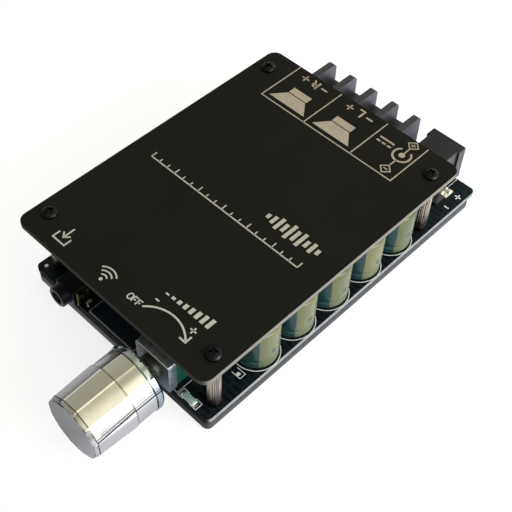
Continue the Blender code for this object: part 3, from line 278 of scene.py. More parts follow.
def slab(loops, rim, hole_rim=None):
    """A flat plate: rim, a list of (inset, height) rows, is carried round each outline.

    The first outline is the outer one and the others are holes, which may have a rim of
    their own; both flat sides are filled.
    """
    loops = [loop if (area(loop) > 0) == (k == 0) else loop[::-1] for k, loop in enumerate(loops)]
    rims = [rim] + [rim if hole_rim is None else hole_rim] * (len(loops) - 1)
    shapes = []
    for loop, rows in zip(loops, rims):
        shapes.append(skin([ring_at(loop, d, z) for d, z in rows], caps=False))
    for end, up in ((0, False), (-1, True)):
        flat = [inset(loop, rows[end][0]) for loop, rows in zip(loops, rims)]
        shapes.append(filled(flat, rim[end][1], up))
    return joined(shapes)


def edge_rim(low, high, radius, steps=2):
    """The (inset, height) rows of a plate's edge with both rims rounded."""
    a = np.linspace(0, pi / 2, steps + 1)
    foot = np.stack([radius * (1 - np.sin(a)), low + radius * (1 - np.cos(a))], -1)
    head = np.stack([radius * (1 - np.cos(a)), high - radius * (1 - np.sin(a))], -1)
    return np.concatenate([foot, head])


def brick(low, high, radius, corner=None, steps=2):
    """A block between two corners, with its upright and flat edges rounded."""
    low, high = np.array(low, float), np.array(high, float)
    radius = max(min(radius, (high - low).min() * 0.45), 1e-6)
    corner = radius if corner is None else corner
    outline = round_rectangle(low, high, max(corner, 1.01 * radius), steps + 1)
    return stacked([(outline, d, z) for d, z in edge_rim(low[2], high[2], radius, steps)])


def post(x, y, half, low, high, radius, corner=None):
    """A brick about an upright line between two heights; half holds its two half widths."""
    return brick((x - half[0], y - half[1], low), (x + half[0], y + half[1], high), radius, corner)


def joined(shapes):
    """Several shapes as one."""
    points, faces, start = [], [], 0
    for shape in shapes:
        points.append(shape[0])
        faces.extend([[k + start for k in face] for face in shape[1]])
        start += len(shape[0])
    return np.concatenate(points), faces


def moved(shape, place=(0, 0, 0), matrix=None):
    """A shape turned by a 3x3 matrix and then shifted."""
    points = np.asarray(shape[0], float)
    if matrix is not None:
        points = points @ np.array(matrix).T
    return points + np.asarray(place, float), shape[1]


def flipped(shape):
    """A shape with its faces turned round."""
    return shape[0], [face[::-1] for face in shape[1]]


TO_FRONT = Matrix.Rotation(pi / 2, 3, "X")
TO_REAR = Matrix.Rotation(-pi / 2, 3, "X")
Z_TO_Y = Matrix(((1, 0, 0), (0, 0, 1), (0, 1, 0)))


def tidied(points, faces, merge):
    """The shape with points nearer than merge joined, and no face left with doubled points."""
    if not merge:
        return points, faces
    _, first, index = np.unique(
        np.round(points / merge).astype(np.int64), axis=0, return_index=True, return_inverse=True
    )
    index = index.reshape(-1)
    kept = []
    for face in faces:
        ring = [int(index[k]) for k in face]
        ring = [k for n, k in enumerate(ring) if k != ring[n - 1]]
        if len(ring) > 2:
            kept.append(ring)
    return points[first], kept


def wrap_round(mesh, axis, foot, height):
    """A UV map about an upright axis: u = angle / turn + 0.5, v = (z - foot) / height.

    A face takes the angle of its middle, and its corners the nearest angle to that one.
    """
    index = np.empty(len(mesh.loops), np.int32)
    mesh.loops.foreach_get("vertex_index", index)
    points = np.empty(len(mesh.vertices) * 3, np.float32)
    mesh.vertices.foreach_get("co", points)
    points = points.reshape(-1, 3)[index] - (*axis, foot)
    total = np.empty(len(mesh.polygons), np.int32)
    mesh.polygons.foreach_get("loop_total", total)
    middle = np.add.reduceat(points, np.concatenate([[0], np.cumsum(total)[:-1]]))
    facing = np.repeat(np.arctan2(middle[:, 1], middle[:, 0]), total)
    off = np.arctan2(points[:, 1], points[:, 0]) - facing
    off = (off + pi) % tau - pi
    uv = np.stack([(facing + off) / tau + 0.5, points[:, 2] / height], -1)
    mesh.uv_layers.new(name="UVMap").data.foreach_set("uv", uv.astype(np.float32).ravel())


SLOTS = {
    "anodised": "plate_aluminium",
    "main_board": "black_board",
    "module_board": "black_board",
    "board_ink": "black_board",
    "cover_plate": "cover_black",
    "cover_ink": "cover_black",
    "black_oxide": "screw_black",
    "brass": "standoff_brass",
    "sleeve": "sleeve_green",
    "wafer": "wafer_green",
    "knob": "knob_silver",
    "turned_metal": "shaft_metal",
    "chip_epoxy": "chip_black",
    "ferrite": "ferrite",
    **dict.fromkeys(("white_base", "lens"), "lamp_lens"),
    **dict.fromkeys(("steel", "frame_steel", "dark_metal"), "bright_steel"),
    **dict.fromkeys(("tin", "solder", "can_top", "gold", "warm_tin", "olive_metal"), "tinned"),
    **dict.fromkeys(
        ("black_plastic", "socket_plastic", "jack_plastic", "resistor", "ceramic"), "black_plastic"
    ),
}


def piece(name, shape, material, body=BOARD, stands_for=None, smooth=35, merge=1e-7):
    """Makes the object of a shape and says what it rides on and stands for.

    smooth is the angle in degrees under which edges are soft.
    """
    points, faces = tidied(shape[0], shape[1], merge)
    mesh = bpy.data.meshes.new(name)
    mesh.from_pydata(points.tolist(), [], faces)
    mesh.materials.append(FINISHES[material])
    mesh.validate()
    if smooth:
        mesh.shade_smooth()
        mesh.set_sharp_from_angle(angle=radians(smooth))
    obj = bpy.data.objects.new(name, mesh)
    bpy.context.scene.collection.objects.link(obj)
    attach(obj, body)
    if stands_for:
        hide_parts(stands_for)
    return obj


def stand_in(name, shape, material, body=BOARD, smooth=35):
    """The piece that is shown in the place of the CAD node of that name."""
    return piece(f"{name}_body", shape, material, body, name, smooth)


def printed(name, outlines, low, height, material):
    """Flat marks of one thickness, as one piece: each is a list of outlines, outer one first."""
    rim = [(0.0, low), (0.0, low + height)]
    return piece(name, joined([slab(loops, rim) for loops in outlines]), material, smooth=0, merge=0)


def soften(obj, width, segments=2, angle=35):
    """Rounds a piece's sharp edges with a Bevel modifier."""
    bevel = obj.modifiers.new("Bevel", "BEVEL")
    bevel.width = width
    bevel.segments = segments
    bevel.limit_method = "ANGLE"
    bevel.angle_limit = radians(angle)
    bevel.use_clamp_overlap = True


def dress(material, *nodes):
    """Gives CAD nodes their finish."""
    for name in nodes:
        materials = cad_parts[name].data.materials
        materials.clear()
        materials.append(FINISHES[material])


# Shader nodes


def node(tree, kind, links=(), **settings):
    """Adds a shader node. links maps an input's name or number to a socket or a value."""
    made = tree.nodes.new("ShaderNode" + kind)
    for key, value in settings.items():
        setattr(made, key, value)
    for key, value in dict(links).items():
        if isinstance(value, bpy.types.NodeSocket):
            tree.links.new(value, made.inputs[key])
        elif value is not None:
            made.inputs[key].default_value = value
    return made


def math(tree, operation, a, b=0.0, c=None, clamp=False):
    """One Math node."""
    links = {0: a, 1: b}
    if c is not None:
        links[2] = c
    return node(tree, "Math", links, operation=operation, use_clamp=clamp).outputs[0]


def times(tree, a, b, clamp=False):
    """The product of two values."""
    return math(tree, "MULTIPLY", a, b, clamp=clamp)


def plus(tree, a, b, clamp=False):
    """The sum of two values."""
    return math(tree, "ADD", a, b, clamp=clamp)


def less(tree, a, b):
    """The first value less the second."""
    return math(tree, "SUBTRACT", a, b)


def blend(tree, share, a, b):
    """A colour mix of a and b; plain colours may be given as tuples."""
    made = node(tree, "Mix", {0: share}, data_type="RGBA")
    for socket, value in ((made.inputs[6], a), (made.inputs[7], b)):
        if isinstance(value, bpy.types.NodeSocket):
            tree.links.new(value, socket)
        else:
            socket.default_value = (*value[:3], 1.0)
    return made.outputs[2]


def span(tree, value, low, high, to_low=0.0, to_high=1.0):
    """A value carried from one range to another, held at its ends."""
    links = {0: value, 1: low, 2: high, 3: to_low, 4: to_high}
    return node(tree, "MapRange", links).outputs[0]


def within(tree, value, middle, half, soft):
    """1 where a value is within half of middle, falling to 0 over the width soft."""
    off = math(tree, "ABSOLUTE", less(tree, value, middle))
    return span(tree, off, half, half + soft, 1.0, 0.0)


def axis_of(tree, vector, name):
    """One of a vector's three numbers."""
    return node(tree, "SeparateXYZ", {0: vector}).outputs[name]


def own_place(tree):
    """Object coordinates."""
    return node(tree, "TexCoord").outputs["Object"]


def faced(tree, name):
    """How far the surface faces along one axis: 1 towards it, -1 away."""
    return axis_of(tree, node(tree, "NewGeometry").outputs["Normal"], name)


def local(tree, scale=(1, 1, 1)):
    """Object coordinates through a Mapping node."""
    return node(tree, "Mapping", {"Vector": own_place(tree), "Scale": scale}).outputs[0]


def noise(tree, vector, scale, detail=3.0, roughness=0.55):
    """The value of a Noise texture."""
    links = {"Vector": vector, "Scale": scale, "Detail": detail, "Roughness": roughness}
    return node(tree, "TexNoise", links).outputs[0]


def relief(tree, height, strength):
    """The normal of a fine relief."""
    links = {"Strength": strength, "Distance": RELIEF_DEPTH, "Height": height}
    return node(tree, "Bump", links).outputs[0]


def group(name, inputs, outputs, build):
    """A shader node group with named sockets, filled by build(tree, inputs) -> {name: socket}."""
    tree = bpy.data.node_groups.new(name, "ShaderNodeTree")
    for label, kind, default in inputs:
        socket = tree.interface.new_socket(label, in_out="INPUT", socket_type="NodeSocket" + kind)
        if default is not None:
            socket.default_value = default
    for label, kind in outputs:
        tree.interface.new_socket(label, in_out="OUTPUT", socket_type="NodeSocket" + kind)
    start = tree.nodes.new("NodeGroupInput")
    end = tree.nodes.new("NodeGroupOutput")
    for label, socket in build(tree, start.outputs).items():
        tree.links.new(socket, end.inputs[label])
    return tree


def use(tree, name, **values):
    """Places a shared node group with its own values, by the names of its sockets."""
    placed = tree.nodes.new("ShaderNodeGroup")
    placed.node_tree = GROUPS[name]
    for key, value in values.items():
        socket = placed.inputs[key]
        if isinstance(value, bpy.types.NodeSocket):
            tree.links.new(value, socket)
        else:
            socket.default_value = (*value, 1.0) if socket.type == "RGBA" else value
    return placed.outputs


def build_groups():
    """The effects that several finishes share."""

    def grain(tree, given):
        value = noise(tree, own_place(tree), given["Scale"], 4.0, 0.6)
        return {"Value": value, "Normal": relief(tree, value, given["Strength"])}

    def smudge(tree, given):
        where = own_place(tree)
        wide = noise(tree, where, 60.0, 3.0)
        fine = noise(tree, where, 900.0, 2.0)
        both = plus(tree, times(tree, wide, 0.7), times(tree, fine, 0.3))
        centred = less(tree, both, 0.5)
        value = math(tree, "MULTIPLY_ADD", centred, given["Spread"], given["Middle"], clamp=True)
        return {"Value": value}

    def dust(tree, given):
        where = own_place(tree)
        up = span(tree, faced(tree, "Z"), 0.3, 1.0)
        specks = span(tree, noise(tree, where, 1500.0, 2.0), 0.62, 0.72)
        film = span(tree, noise(tree, where, 90.0, 4.0), 0.35, 0.75)
        both = plus(tree, times(tree, specks, 0.6), times(tree, film, 0.4))
        return {"Mask": times(tree, times(tree, both, up), given["Amount"], clamp=True)}

    def laminate(tree, given):
        where = own_place(tree)
        layers = math(tree, "SINE", times(tree, axis_of(tree, where, "Z"), 26000.0))
        fibres = noise(tree, local(tree, (1, 1, 6)), 1400.0, 3.0)
        spots = noise(tree, where, 260.0, 3.0)
        mixed = plus(tree, plus(tree, times(tree, layers, 0.10), fibres), times(tree, spots, 0.5))
        share = span(tree, mixed, 0.4, 1.1)
        colour = blend(tree, share, given["Dark"], given["Pale"])
        side = span(tree, math(tree, "ABSOLUTE", faced(tree, "Z")), 0.75, 0.55)
        # Painted shade: edge faces that look to the front (-Y), away from the key light, are darkened.
        painted_front_shade = span(tree, faced(tree, "Y"), -0.8, -0.4, 0.8, 0.0)
        colour = blend(tree, painted_front_shade, colour, (0.012, 0.012, 0.013))
        return {"Colour": colour, "Side": side, "Value": share}

    def brushed(tree, given):
        links = {"Vector": own_place(tree), "Scale": given["Stretch"]}
        value = noise(tree, node(tree, "Mapping", links).outputs[0], 1.0, 4.0, 0.7)
        return {"Value": value, "Normal": relief(tree, value, given["Strength"])}

    value_and_normal = [("Value", "Float"), ("Normal", "Vector")]
    return {
        "grain": group(
            "Fine grain",
            [("Scale", "Float", 2000.0), ("Strength", "Float", 0.2)],
            value_and_normal,
            grain,
        ),
        "smudge": group(
            "Smudged gloss",
            [("Middle", "Float", 0.4), ("Spread", "Float", 0.3)],
            [("Value", "Float")],
            smudge,
        ),
        "dust": group("Dust on top", [("Amount", "Float", 0.1)], [("Mask", "Float")], dust),
        "laminate": group(
            "Cut laminate edge",
            [("Dark", "Color", None), ("Pale", "Color", None)],
            [("Colour", "Color"), ("Side", "Float"), ("Value", "Float")],
            laminate,
        ),
        "brushed": group(
            "Brushed metal",
            [("Stretch", "Vector", None), ("Strength", "Float", 0.2)],
            value_and_normal,
            brushed,
        ),
    }


GROUPS = {}
FINISHES = {}
RELIEF_DEPTH = 0.1 * MM


def finish(name, build, **shader):
    """Makes a material: build(tree) gives the varying sockets, shader the constant values."""
    made = bpy.data.materials.new(name)
    made.use_nodes = True
    tree = made.node_tree
    principled = tree.nodes["Principled BSDF"]
    for key, value in shader.items():
        principled.inputs[key.replace("_", " ")].default_value = value
    for key, socket in build(tree).items():
        tree.links.new(socket, principled.inputs[key])
    FINISHES[name] = made
    return made


def surface(colour, rough, normal):
    """The sockets that most finishes feed."""
    return {"Base Color": colour, "Roughness": rough, "Normal": normal}


def scaled(colour, factors):
    """A colour with each of its three parts multiplied."""
    return tuple(c * k for c, k in zip(colour, factors))


def tinted(tree, colour, amount, share):
    """A colour between a darker and a lighter version of itself."""
    dark = tuple(c * (1 - amount) for c in colour)
    pale = tuple(min(1.0, c * (1 + amount)) for c in colour)
    return blend(tree, share, dark, pale)


def board_finish(name, mask, cut, middle, spread, tracks, dust=0.04, shine=0.3, front=1.0):
    """Solder mask on the flat sides, cut laminate on the edge.

    cut holds the edge's dark and pale colour, tracks is the strength of the tracks' relief,
    and front the share of the edge's colour kept on front faces, the rest being painted shade.
    """

    def build(tree):
        where = own_place(tree)
        edge = use(tree, "laminate", Dark=cut[0], Pale=cut[1])
        gloss = use(tree, "smudge", Middle=middle, Spread=spread)["Value"]
        film = use(tree, "dust", Amount=dust)["Mask"]
        links = {"Vector": local(tree), "Scale": 130.0, "Mortar Size": 0.06}
        cells = node(tree, "TexBrick", links, offset=0.37, squash=1.7, squash_frequency=3)
        track = cells.outputs[1]
        # Painted shade: the edge is darkened where it faces the front, away from the key light.
        back = span(tree, faced(tree, "Y"), -0.9, -0.4, front, 1.0)
        front_shaded_edge = blend(tree, back, (0.0, 0.0, 0.0), edge["Colour"])
        base = tinted(tree, mask, 0.25, noise(tree, where, 35.0))
        lifted = tuple(c * 1.9 + 0.001 for c in mask)
        base = blend(tree, times(tree, track, min(1.0, tracks)), base, lifted)
        base = blend(tree, film, base, (0.10, 0.10, 0.095))
        colour = blend(tree, edge["Side"], base, front_shaded_edge)
        rough = node(tree, "Mix", {0: edge["Side"], 2: gloss, 3: 0.75}, data_type="FLOAT").outputs[0]
        height = plus(tree, times(tree, track, tracks), noise(tree, where, 1800.0))
        return surface(colour, rough, relief(tree, height, 0.10))

    return finish(name, build, Specular_IOR_Level=shine)


def plain_finish(name, colour, middle, grain=2500.0, depth=0.15, dust=0.05, side=None, **shader):
    """One colour with grain, smudged gloss and a little dust, for plastics and coatings.

    side is the paler colour of the faces that look to +X: painted light on the sides that face the key light.
    """

    def build(tree):
        rough = use(tree, "smudge", Middle=middle, Spread=0.25)["Value"]
        fine = use(tree, "grain", Scale=grain, Strength=depth)
        film = use(tree, "dust", Amount=dust)["Mask"]
        base = tinted(tree, colour, 0.12, fine["Value"])
        pale = tuple(0.25 + c * 0.5 for c in colour)
        base = blend(tree, film, base, pale)
        # Painted light: faces that look to +X, towards the key light, are made paler, patchy with the grain.
        if side:
            uneven = span(tree, fine["Value"], 0.2, 0.6, 0.7, 1.0)
            tone_shift = times(tree, span(tree, faced(tree, "X"), 0.6, 0.95), uneven)
            base = blend(tree, tone_shift, base, side)
        return surface(base, rough, fine["Normal"])

    return finish(name, build, **shader)


def ink_finish(name, colour, rear):
    """Printed ink, a little uneven; rear multiplies its colour at the rear of the cover plate."""

    def build(tree):
        fine = use(tree, "grain", Scale=1500.0, Strength=0.1)
        along = axis_of(tree, own_place(tree), "Y")
        fade = span(tree, along, float(COVER_LOW[1]) * 0.6, float(COVER_HIGH[1]))
        base = blend(tree, fade, colour, scaled(colour, rear))
        thin = span(tree, fine["Value"], 0.35, 0.7, 0.25, 0.0)
        return {"Base Color": blend(tree, thin, base, (0.03, 0.03, 0.025)), "Normal": fine["Normal"]}

    return finish(name, build, Roughness=0.55, Specular_IOR_Level=0.3)


def metal_finish(name, colour, middle, stretch, depth):
    """A bare or plated metal with fine machining lines along the axes that stretch sets."""

    def build(tree):
        rough = use(tree, "smudge", Middle=middle, Spread=0.2)["Value"]
        lines = use(tree, "brushed", Stretch=stretch, Strength=depth)
        return surface(tinted(tree, colour, 0.10, lines["Value"]), rough, lines["Normal"])

    return finish(name, build, Metallic=1.0)


def sleeve_finish(dark, stripe):
    """The capacitor sleeve: u runs once round, v is the height; the stripe lies about u = 0.5."""

    def build(tree):
        uv = node(tree, "UVMap", uv_map="UVMap").outputs[0]
        u, v = axis_of(tree, uv, "X"), axis_of(tree, uv, "Y")
        wobble = times(tree, noise(tree, uv, 3.0, 1.0), 0.01)
        turn = math(tree, "ABSOLUTE", less(tree, plus(tree, u, wobble), 0.505))
        on_stripe = span(tree, turn, 0.105, 0.112, 1.0, 0.0)
        where = own_place(tree)
        ragged = math(tree, "MULTIPLY_ADD", noise(tree, where, 700.0, 2.0), 0.05, v)
        dash = within(tree, ragged, 0.48, 0.055, 0.03)
        dash = times(tree, dash, within(tree, turn, 0.0, 0.014, 0.006))
        # Painted shade: a dark line round the crimp groove; the dashes are print.
        crimp_shade = math(tree, "MULTIPLY_ADD", noise(tree, where, 260.0, 3.0), 0.10, v)
        crimp_shade = times(tree, within(tree, crimp_shade, 0.27, 0.006, 0.008), 0.7)
        shade = math(tree, "MAXIMUM", times(tree, dash, 0.8), crimp_shade)
        mottle = noise(tree, where, 500.0, 3.0)
        wide = span(tree, noise(tree, where, 55.0, 1.0), 0.35, 0.65)
        pale = tinted(tree, stripe, 0.25, mottle)
        pale = blend(tree, wide, pale, scaled(stripe, (2.4, 1.8, 1.5)))
        pale = blend(tree, span(tree, v, 0.1, 0.5, 0.45, 0.0), pale, (0.04, 0.07, 0.045))
        base = blend(tree, on_stripe, tinted(tree, dark, 0.35, mottle), pale)
        base = blend(tree, shade, base, (0.008, 0.022, 0.022))
        rough = use(tree, "smudge", Middle=0.26, Spread=0.25)["Value"]
        fine = use(tree, "grain", Scale=700.0, Strength=0.25)
        return surface(base, rough, fine["Normal"])

    return finish("sleeve", build, Coat_Weight=0.05, Coat_Roughness=0.2, Specular_IOR_Level=0.25)


def knob_finish(colour, flats):
    """Bright plated plastic: painted highlights on its corners, painted dark reflection lines, painted groove
    shade.

    along is Y, radius and angle are taken about the knob's axis, and turn runs from 0 to 1
    over each flat. Widths of lines over the barrel are in degrees.
    """
    front, groove = KNOB_LOW[1], KNOB_HIGH[1] - KNOB_GROOVE
    front_groove, barrel, collar = front + 1.2 * MM, front + 1.3 * MM, KNOB_HIGH[1] - 2.5 * MM
    rim_radius, side_radius, ridge_radius = 8.36 * MM, 8.7 * MM, 8.95 * MM

    def build(tree):
        where = own_place(tree)
        along = axis_of(tree, where, "Y")
        across = less(tree, axis_of(tree, where, "X"), KNOB_AXIS_X)
        above = less(tree, axis_of(tree, where, "Z"), KNOB_AXIS_Z)
        squares = [math(tree, "POWER", value, 2.0) for value in (across, above)]
        radius = math(tree, "SQRT", plus(tree, *squares))
        angle = math(tree, "ARCTAN2", above, across)
        turn = times(tree, less(tree, angle, radians(KNOB_TURN)), flats / tau)
        turn = math(tree, "FRACT", turn)
        faceted = math(tree, "LESS_THAN", along, groove)

        def stripe(value, middle, half, soft):
            return within(tree, value, radians(middle), radians(half), radians(soft))

        lines = use(tree, "brushed", Stretch=(40, 5000, 40), Strength=0.05)
        marks = span(tree, noise(tree, where, 220.0, 4.0), 0.5, 0.8)
        rough = math(tree, "MULTIPLY_ADD", marks, 0.12, 0.15)
        # Painted highlight: a pale line down the corner of each flat.
        ridge_highlight = times(tree, within(tree, turn, 0.5, 0.05, 0.02), faceted)
        ridge_highlight = times(tree, ridge_highlight, math(tree, "GREATER_THAN", radius, ridge_radius))
        base = tinted(tree, colour, 0.05, lines["Value"])
        base = blend(tree, ridge_highlight, base, (0.96, 0.94, 0.84))
        # Darker grey streaks along the axis, strongest on the flat that faces up and to the right.
        streak_place = node(tree, "CombineXYZ", {0: angle, 1: times(tree, along, 12.0)}).outputs[0]
        streak = span(tree, noise(tree, streak_place, 24.0, 4.0), 0.35, 0.7)
        low_flat = times(tree, stripe(angle, 33.0, 14.0, 1.0), faceted)
        tone_shift = times(tree, streak, math(tree, "MULTIPLY_ADD", low_flat, 0.5, 0.12))
        base = blend(tree, tone_shift, base, (0.30, 0.30, 0.27))
        base = blend(tree, math(tree, "GREATER_THAN", along, collar), base, (0.38, 0.43, 0.41))
        # Painted reflection: two dark lines along the barrel, slanting a little, where the mirrored
        # surroundings change.
        slant = span(tree, along, front, groove, radians(20.5), radians(26.5))
        drum = times(tree, less(tree, 1.0, faceted), radians(-2.3))
        off = less(tree, angle, plus(tree, slant, drum))
        reflection_lines = plus(tree, times(tree, stripe(off, 2.2, 0.6, 0.5), 0.8), stripe(off, -2.1, 1.1, 0.5), True)
        side = math(tree, "GREATER_THAN", radius, side_radius)
        on_barrel = times(tree, side, math(tree, "GREATER_THAN", along, barrel))
        dark = times(tree, reflection_lines, on_barrel)
        # Painted shade: a broken dark line in the groove round the face, and one in the groove behind the
        # front.
        face = math(tree, "LESS_THAN", along, front + 0.4 * MM)
        rim = times(tree, within(tree, radius, rim_radius, 0.10 * MM, 0.06 * MM), face)
        broken = span(tree, noise(tree, where, 500.0, 3.0), 0.42, 0.6)
        front_groove_shade = times(tree, within(tree, along, front_groove, 0.08 * MM, 0.05 * MM), 0.8)
        dark = math(tree, "MAXIMUM", dark, math(tree, "MAXIMUM", times(tree, rim, broken), front_groove_shade))
        return surface(blend(tree, dark, base, (0.045, 0.045, 0.05)), rough, lines["Normal"])

    return finish("knob", build, Metallic=1.0)


def brass_finish():
    """Knurled brass: pale and brown streaks that run down, and a dark lower half, a painted reflection of the
    dark board with painted shade.
    """

    def build(tree):
        rough = use(tree, "smudge", Middle=0.24, Spread=0.2)["Value"]
        lines = use(tree, "brushed", Stretch=(2600, 2600, 90), Strength=0.3)
        streak = span(tree, lines["Value"], 0.38, 0.62)
        upper_brass = blend(tree, streak, (0.14, 0.105, 0.06), (0.60, 0.51, 0.37))
        # Painted reflection and shade: the lower half, which mirrors the dark board, is painted nearly black.
        tone_shift = blend(tree, streak, (0.003, 0.003, 0.002), (0.045, 0.036, 0.018))
        height = axis_of(tree, own_place(tree), "Z")
        ragged = math(tree, "MULTIPLY_ADD", less(tree, lines["Value"], 0.5), 4 * MM, height)
        base = blend(tree, span(tree, ragged, 9.0 * MM, 15.0 * MM), tone_shift, upper_brass)
        return surface(base, rough, lines["Normal"])

    return finish("brass", build, Metallic=1.0)


def frame_finish(colour, bright):
    """Plated steel with blotches, a painted highlight along its top front edge, and painted shade on its
    front face.
    """
    low, high = corners("potentiometer_frame")
    top, front = float(high[2]), float(low[1])
    edge_start, edge_end = 0.18 * MM, 0.26 * MM

    def build(tree):
        where = own_place(tree)
        rough = use(tree, "smudge", Middle=0.50, Spread=0.2)["Value"]
        lines = use(tree, "brushed", Stretch=(160, 900, 160), Strength=0.25)
        blotch = span(tree, noise(tree, where, 420.0, 4.0, 0.65), 0.35, 0.65)
        base = tinted(tree, colour, 0.35, blotch)
        # Painted highlight: a thin band along the top front edge is painted pale.
        upper = span(tree, axis_of(tree, where, "Z"), top - edge_end, top - edge_start)
        near = span(tree, axis_of(tree, where, "Y"), front + edge_start, front + edge_end, 1.0, 0.0)
        # Painted shadow: the front face is painted dark, darkest to the left where the knob's shadow falls.
        face = span(tree, faced(tree, "Y"), -0.95, -0.7, 1.0, 0.0)
        streaks = span(tree, noise(tree, local(tree, (900, 60, 500)), 1.0, 3.0), 0.35, 0.7)
        left = blend(tree, streaks, (0.015, 0.014, 0.010), (0.15, 0.14, 0.10))
        across = span(tree, axis_of(tree, where, "X"), 15.0 * MM, 20.5 * MM)
        base = blend(tree, face, base, blend(tree, across, left, colour))
        base = blend(tree, times(tree, upper, near), base, bright)
        return surface(base, rough, lines["Normal"])

    return finish("frame_steel", build, Metallic=1.0)


def make_finishes(colours, flats):
    """All materials of the object."""
    GROUPS.update(build_groups())
    # The main board's front edge keeps a tenth of its colour: painted shade.
    board_finish(
        "main_board", tuple(colours.mask), ((0.13, 0.14, 0.14), (0.27, 0.28, 0.28)), 0.36, 0.25, 1.0,
        dust=0.01, shine=0.06, front=0.10,
    )
    board_finish(
        "cover_plate", tuple(colours.cover), ((0.12, 0.115, 0.108), (0.20, 0.195, 0.18)), 0.50, 0.2, 0.0,
        dust=0.0, shine=0.03,
    )
    board_finish(
        "module_board", (0.004, 0.007, 0.012), ((0.30, 0.31, 0.28), (0.55, 0.56, 0.52)), 0.32, 0.25, 0.6
    )
    ink_finish("cover_ink", tuple(colours.marks), (0.78, 0.64, 0.55))
    plain_finish("board_ink", tuple(colours.silk), 0.55, depth=0.1)
    # The side colours below are painted light on the faces that look to the key light at +X.
    plain_finish(
        "black_plastic", (0.012, 0.013, 0.015), 0.42, grain=1800.0, depth=0.25,
        side=(0.034, 0.034, 0.038), Specular_IOR_Level=0.35,
    )
    plain_finish(
        "socket_plastic", (0.006, 0.0065, 0.008), 0.40, grain=2200.0, dust=0.02,
        side=(0.050, 0.050, 0.052), Specular_IOR_Level=0.2,
    )
    plain_finish(
        "jack_plastic", (0.004, 0.0045, 0.0055), 0.42, grain=2200.0, dust=0.0, Specular_IOR_Level=0.12
    )
    plain_finish(
        "anodised", (0.018, 0.018, 0.020), 0.45, grain=1600.0, depth=0.3, dust=0.02,
        side=(0.036, 0.036, 0.040), Specular_IOR_Level=0.2,
    )
    plain_finish("chip_epoxy", (0.016, 0.016, 0.018), 0.55, grain=5000.0, depth=0.3)
    plain_finish("ferrite", (0.055, 0.055, 0.060), 0.65, grain=3500.0, depth=0.4)
    plain_finish("wafer", tuple(colours.wafer), 0.38, grain=900.0, depth=0.1)
    plain_finish("sheet", (0.25, 0.26, 0.27), 0.7, grain=1500.0, depth=0.3)
    plain_finish("resistor", (0.012, 0.012, 0.014), 0.35, dust=0.02)
    plain_finish("ceramic", (0.22, 0.15, 0.085), 0.45, dust=0.02)
    plain_finish("lens", (0.20, 0.31, 0.27), 0.25, Coat_Weight=0.2)
    plain_finish("white_base", (0.62, 0.66, 0.62), 0.4)
    sleeve_finish(tuple(colours.sleeve), tuple(colours.stripe))
    knob_finish(tuple(colours.knob), flats)
    brass_finish()
    frame_finish((0.27, 0.32, 0.33), (0.88, 0.84, 0.76))
    for name, colour, middle, stretch, depth in (
        ("black_oxide", (0.014, 0.014, 0.015), 0.30, (900, 900, 900), 0.3),
        ("steel", (0.50, 0.50, 0.50), 0.30, (200, 200, 1200), 0.2),
        ("tin", (0.70, 0.69, 0.66), 0.28, (400, 400, 400), 0.25),
        ("solder", (0.72, 0.70, 0.66), 0.24, (260, 260, 260), 0.35),
        ("can_top", (0.74, 0.74, 0.70), 0.26, (350, 350, 350), 0.15),
        ("turned_metal", (0.62, 0.62, 0.60), 0.30, (60, 2500, 60), 0.2),
        ("dark_metal", (0.07, 0.07, 0.065), 0.5, (60, 2500, 60), 0.2),
        ("warm_tin", (0.72, 0.66, 0.56), 0.42, (500, 500, 500), 0.4),
        ("olive_metal", (0.20, 0.19, 0.06), 0.35, (400, 400, 400), 0.2),
        ("gold", (0.80, 0.60, 0.27), 0.28, (300, 300, 300), 0.1),
    ):
        metal_finish(name, colour, middle, stretch, depth)


# Marks


def stroke(points, width, closed=False):
    """The outlines of a line of one width: its points moved half a width to each side."""
    p = np.asarray(points, float)
    if closed:
        p = p if area(p) > 0 else p[::-1]
        return [inset(p, -width / 2), inset(p, width / 2)]
    steps = p[1:] - p[:-1]
    aside = mitres(np.vstack([steps, steps[-1:]]), np.vstack([steps[:1], steps])) * width / 2
    return [np.concatenate([p + aside, (p - aside)[::-1]])]


def arc(centre, radius, start, end, steps=16):
    """Points on a circle between two angles in degrees."""
    angle = np.radians(np.linspace(start, end, steps + 1))
    return np.asarray(centre) + radius * np.stack([np.cos(angle), np.sin(angle)], -1)


ROUND = np.concatenate([arc((0.36, 0.64), 0.36, 0, 180, 8), arc((0.36, 0.36), 0.36, 180, 360, 8)])
BOWL = np.concatenate([[(0, 0), (0, 1)], arc((0.38, 0.74), 0.26, 90, -90, 8), [(0, 0.48)]])
# The lines of each plain sign, one unit tall, and whether a line is closed
GLYPHS = {
    "O": [(ROUND, True)],
    "F": [([(0, 0), (0, 1), (0.62, 1)], False), ([(0, 0.52), (0.5, 0.52)], False)],
    "L": [([(0, 1), (0, 0), (0.58, 0)], False)],
    "R": [(BOWL, False), ([(0.3, 0.48), (0.66, 0)], False)],
    "+": [([(0, 0.5), (0.9, 0.5)], False), ([(0.45, 0.05), (0.45, 0.95)], False)],
    "-": [([(0, 0.5), (0.7, 0.5)], False)],
}


def sign(glyph, centre, height, width, turn=0.0):
    """The outlines of one glyph about its centre: its lines are scaled, turned and placed."""
    lines = [(np.asarray(line, float) * height, closed) for line, closed in GLYPHS[glyph]]
    points = np.concatenate([line for line, _ in lines])
    turned_by = np.array([[cos(turn), sin(turn)], [-sin(turn), cos(turn)]])
    place = centre - (points.min(0) + points.max(0)) / 2 @ turned_by
    return [stroke(line @ turned_by + place, width, closed) for line, closed in lines]


def on_cover(points):
    """Cover-centred millimetres as metres in the frame."""
    return np.asarray(points, float) * MM + COVER_MIDDLE[:2]


# Pieces


